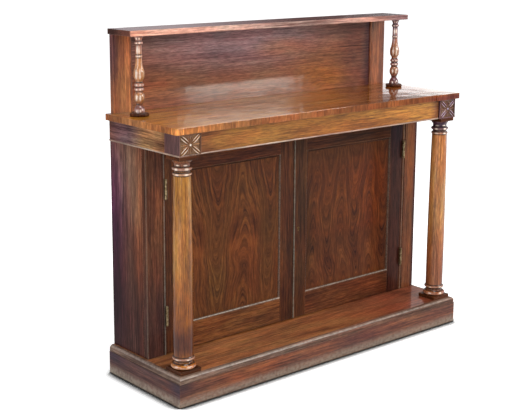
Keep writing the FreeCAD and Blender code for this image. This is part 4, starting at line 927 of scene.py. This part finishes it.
def add_camera():
    """The photograph's viewpoint. Its axes come from yaw, pitch and roll."""
    ahead = Vector((math.sin(CAMERA_YAW) * math.cos(CAMERA_PITCH),
                    math.cos(CAMERA_YAW) * math.cos(CAMERA_PITCH), math.sin(CAMERA_PITCH)))
    right = Vector((math.cos(CAMERA_YAW), -math.sin(CAMERA_YAW), 0.0))
    up = right.cross(ahead)
    right, up = (right * math.cos(CAMERA_ROLL) + up * math.sin(CAMERA_ROLL),
                 up * math.cos(CAMERA_ROLL) - right * math.sin(CAMERA_ROLL))
    data = bpy.data.cameras.new("camera")
    data.lens = LENS
    data.sensor_width = SENSOR
    data.shift_y = SHIFT
    camera = bpy.data.objects.new("camera", data)
    camera.matrix_world = Matrix((right, up, -ahead)).transposed().to_4x4()
    camera.location = CAMERA_PLACE
    bpy.context.scene.collection.objects.link(camera)
    bpy.context.scene.camera = camera


def add_floor():
    """A pale floor: white to the camera by a glow that is weaker near the object, with a painted
    contact shadow.
    """
    data = bpy.data.meshes.new("floor")
    data.from_pydata([(-FLOOR_REACH, -FLOOR_REACH, 0), (FLOOR_REACH, -FLOOR_REACH, 0),
                      (FLOOR_REACH, FLOOR_REACH, 0), (-FLOOR_REACH, FLOOR_REACH, 0)],
                     [], [(0, 1, 2, 3)])
    floor = bpy.data.objects.new("floor", data)
    bpy.context.scene.collection.objects.link(floor)
    material, tree, surface = new_material("floor_paper")
    # Painted contact shadow: darker where the object closes the floor in.
    painted_contact_shadow = tree.step(tree.openness(CONTACT_SHADOW_REACH), *CONTACT_SHADOW_SHADES)
    tree.link(tree.shaded(PAPER, painted_contact_shadow), surface, "Base Color")
    surface.inputs["Roughness"].default_value = FLOOR_ROUGHNESS
    surface.inputs["Specular IOR Level"].default_value = 0.0
    surface.inputs["Emission Color"].default_value = WHITE
    seen = tree.add("LightPath").outputs["Is Camera Ray"]
    far = tree.vector("LENGTH", tree.place(), output="Value")
    shine = tree.math("MULTIPLY", seen, tree.step(far, *FLOOR_GLOW))
    tree.link(tree.math("MULTIPLY", shine, painted_contact_shadow), surface, "Emission Strength")
    data.materials.append(material)


def add_world():
    """White behind the object, a backdrop in its polish, and a soft even light on it."""
    world = bpy.data.worlds.new("studio")
    world.use_nodes = True
    bpy.context.scene.world = world
    tree = Tree(world.node_tree)
    rays = tree.add("LightPath").outputs
    soft = world.node_tree.nodes["Background"]
    soft.inputs[0].default_value = AMBIENT
    soft.inputs[1].default_value = AMBIENT_STRENGTH
    ray = tree.split(tree.add("TexCoord").outputs["Generated"])
    heading = tree.split(tree.vector("NORMALIZE", tree.joined(ray[0], ray[1], 0.0)))
    behind = tree.math("GREATER_THAN", heading[1], BEHIND)
    backdrop = tree.mix(behind, DIM_BACKDROP, tree.ramp(heading[0], *BACKDROP))
    mirrored = tree.add("Background", (backdrop, 1.0))
    white = tree.add("Background", (WHITE, 1.0))
    seen = tree.math("MAXIMUM", rays["Is Camera Ray"], rays["Is Transmission Ray"])
    both = tree.add("MixShader", (rays["Is Glossy Ray"], soft.outputs[0], mirrored.outputs[0]))
    both = tree.add("MixShader", (seen, both.outputs[0], white.outputs[0]))
    tree.link(both.outputs[0], world.node_tree.nodes["World Output"], 0)


def add_lamp(name, place, target, size, power, colour, mirrored):
    """A rectangular lamp turned to a target."""
    data = bpy.data.lights.new(name, "AREA")
    data.shape = "RECTANGLE"
    data.size, data.size_y = size
    data.energy = power
    data.color = colour
    lamp = bpy.data.objects.new(name, data)
    place = Vector(place)
    lamp.rotation_euler = (Vector(target) - place).to_track_quat("-Z", "Y").to_euler()
    lamp.location = place
    lamp.visible_glossy = mirrored
    lamp.visible_camera = False
    bpy.context.scene.collection.objects.link(lamp)


add_camera()
add_floor()
add_world()
for lamp in LAMPS:
    add_lamp(*lamp)

bpy.context.scene.view_settings.view_transform = "Standard"
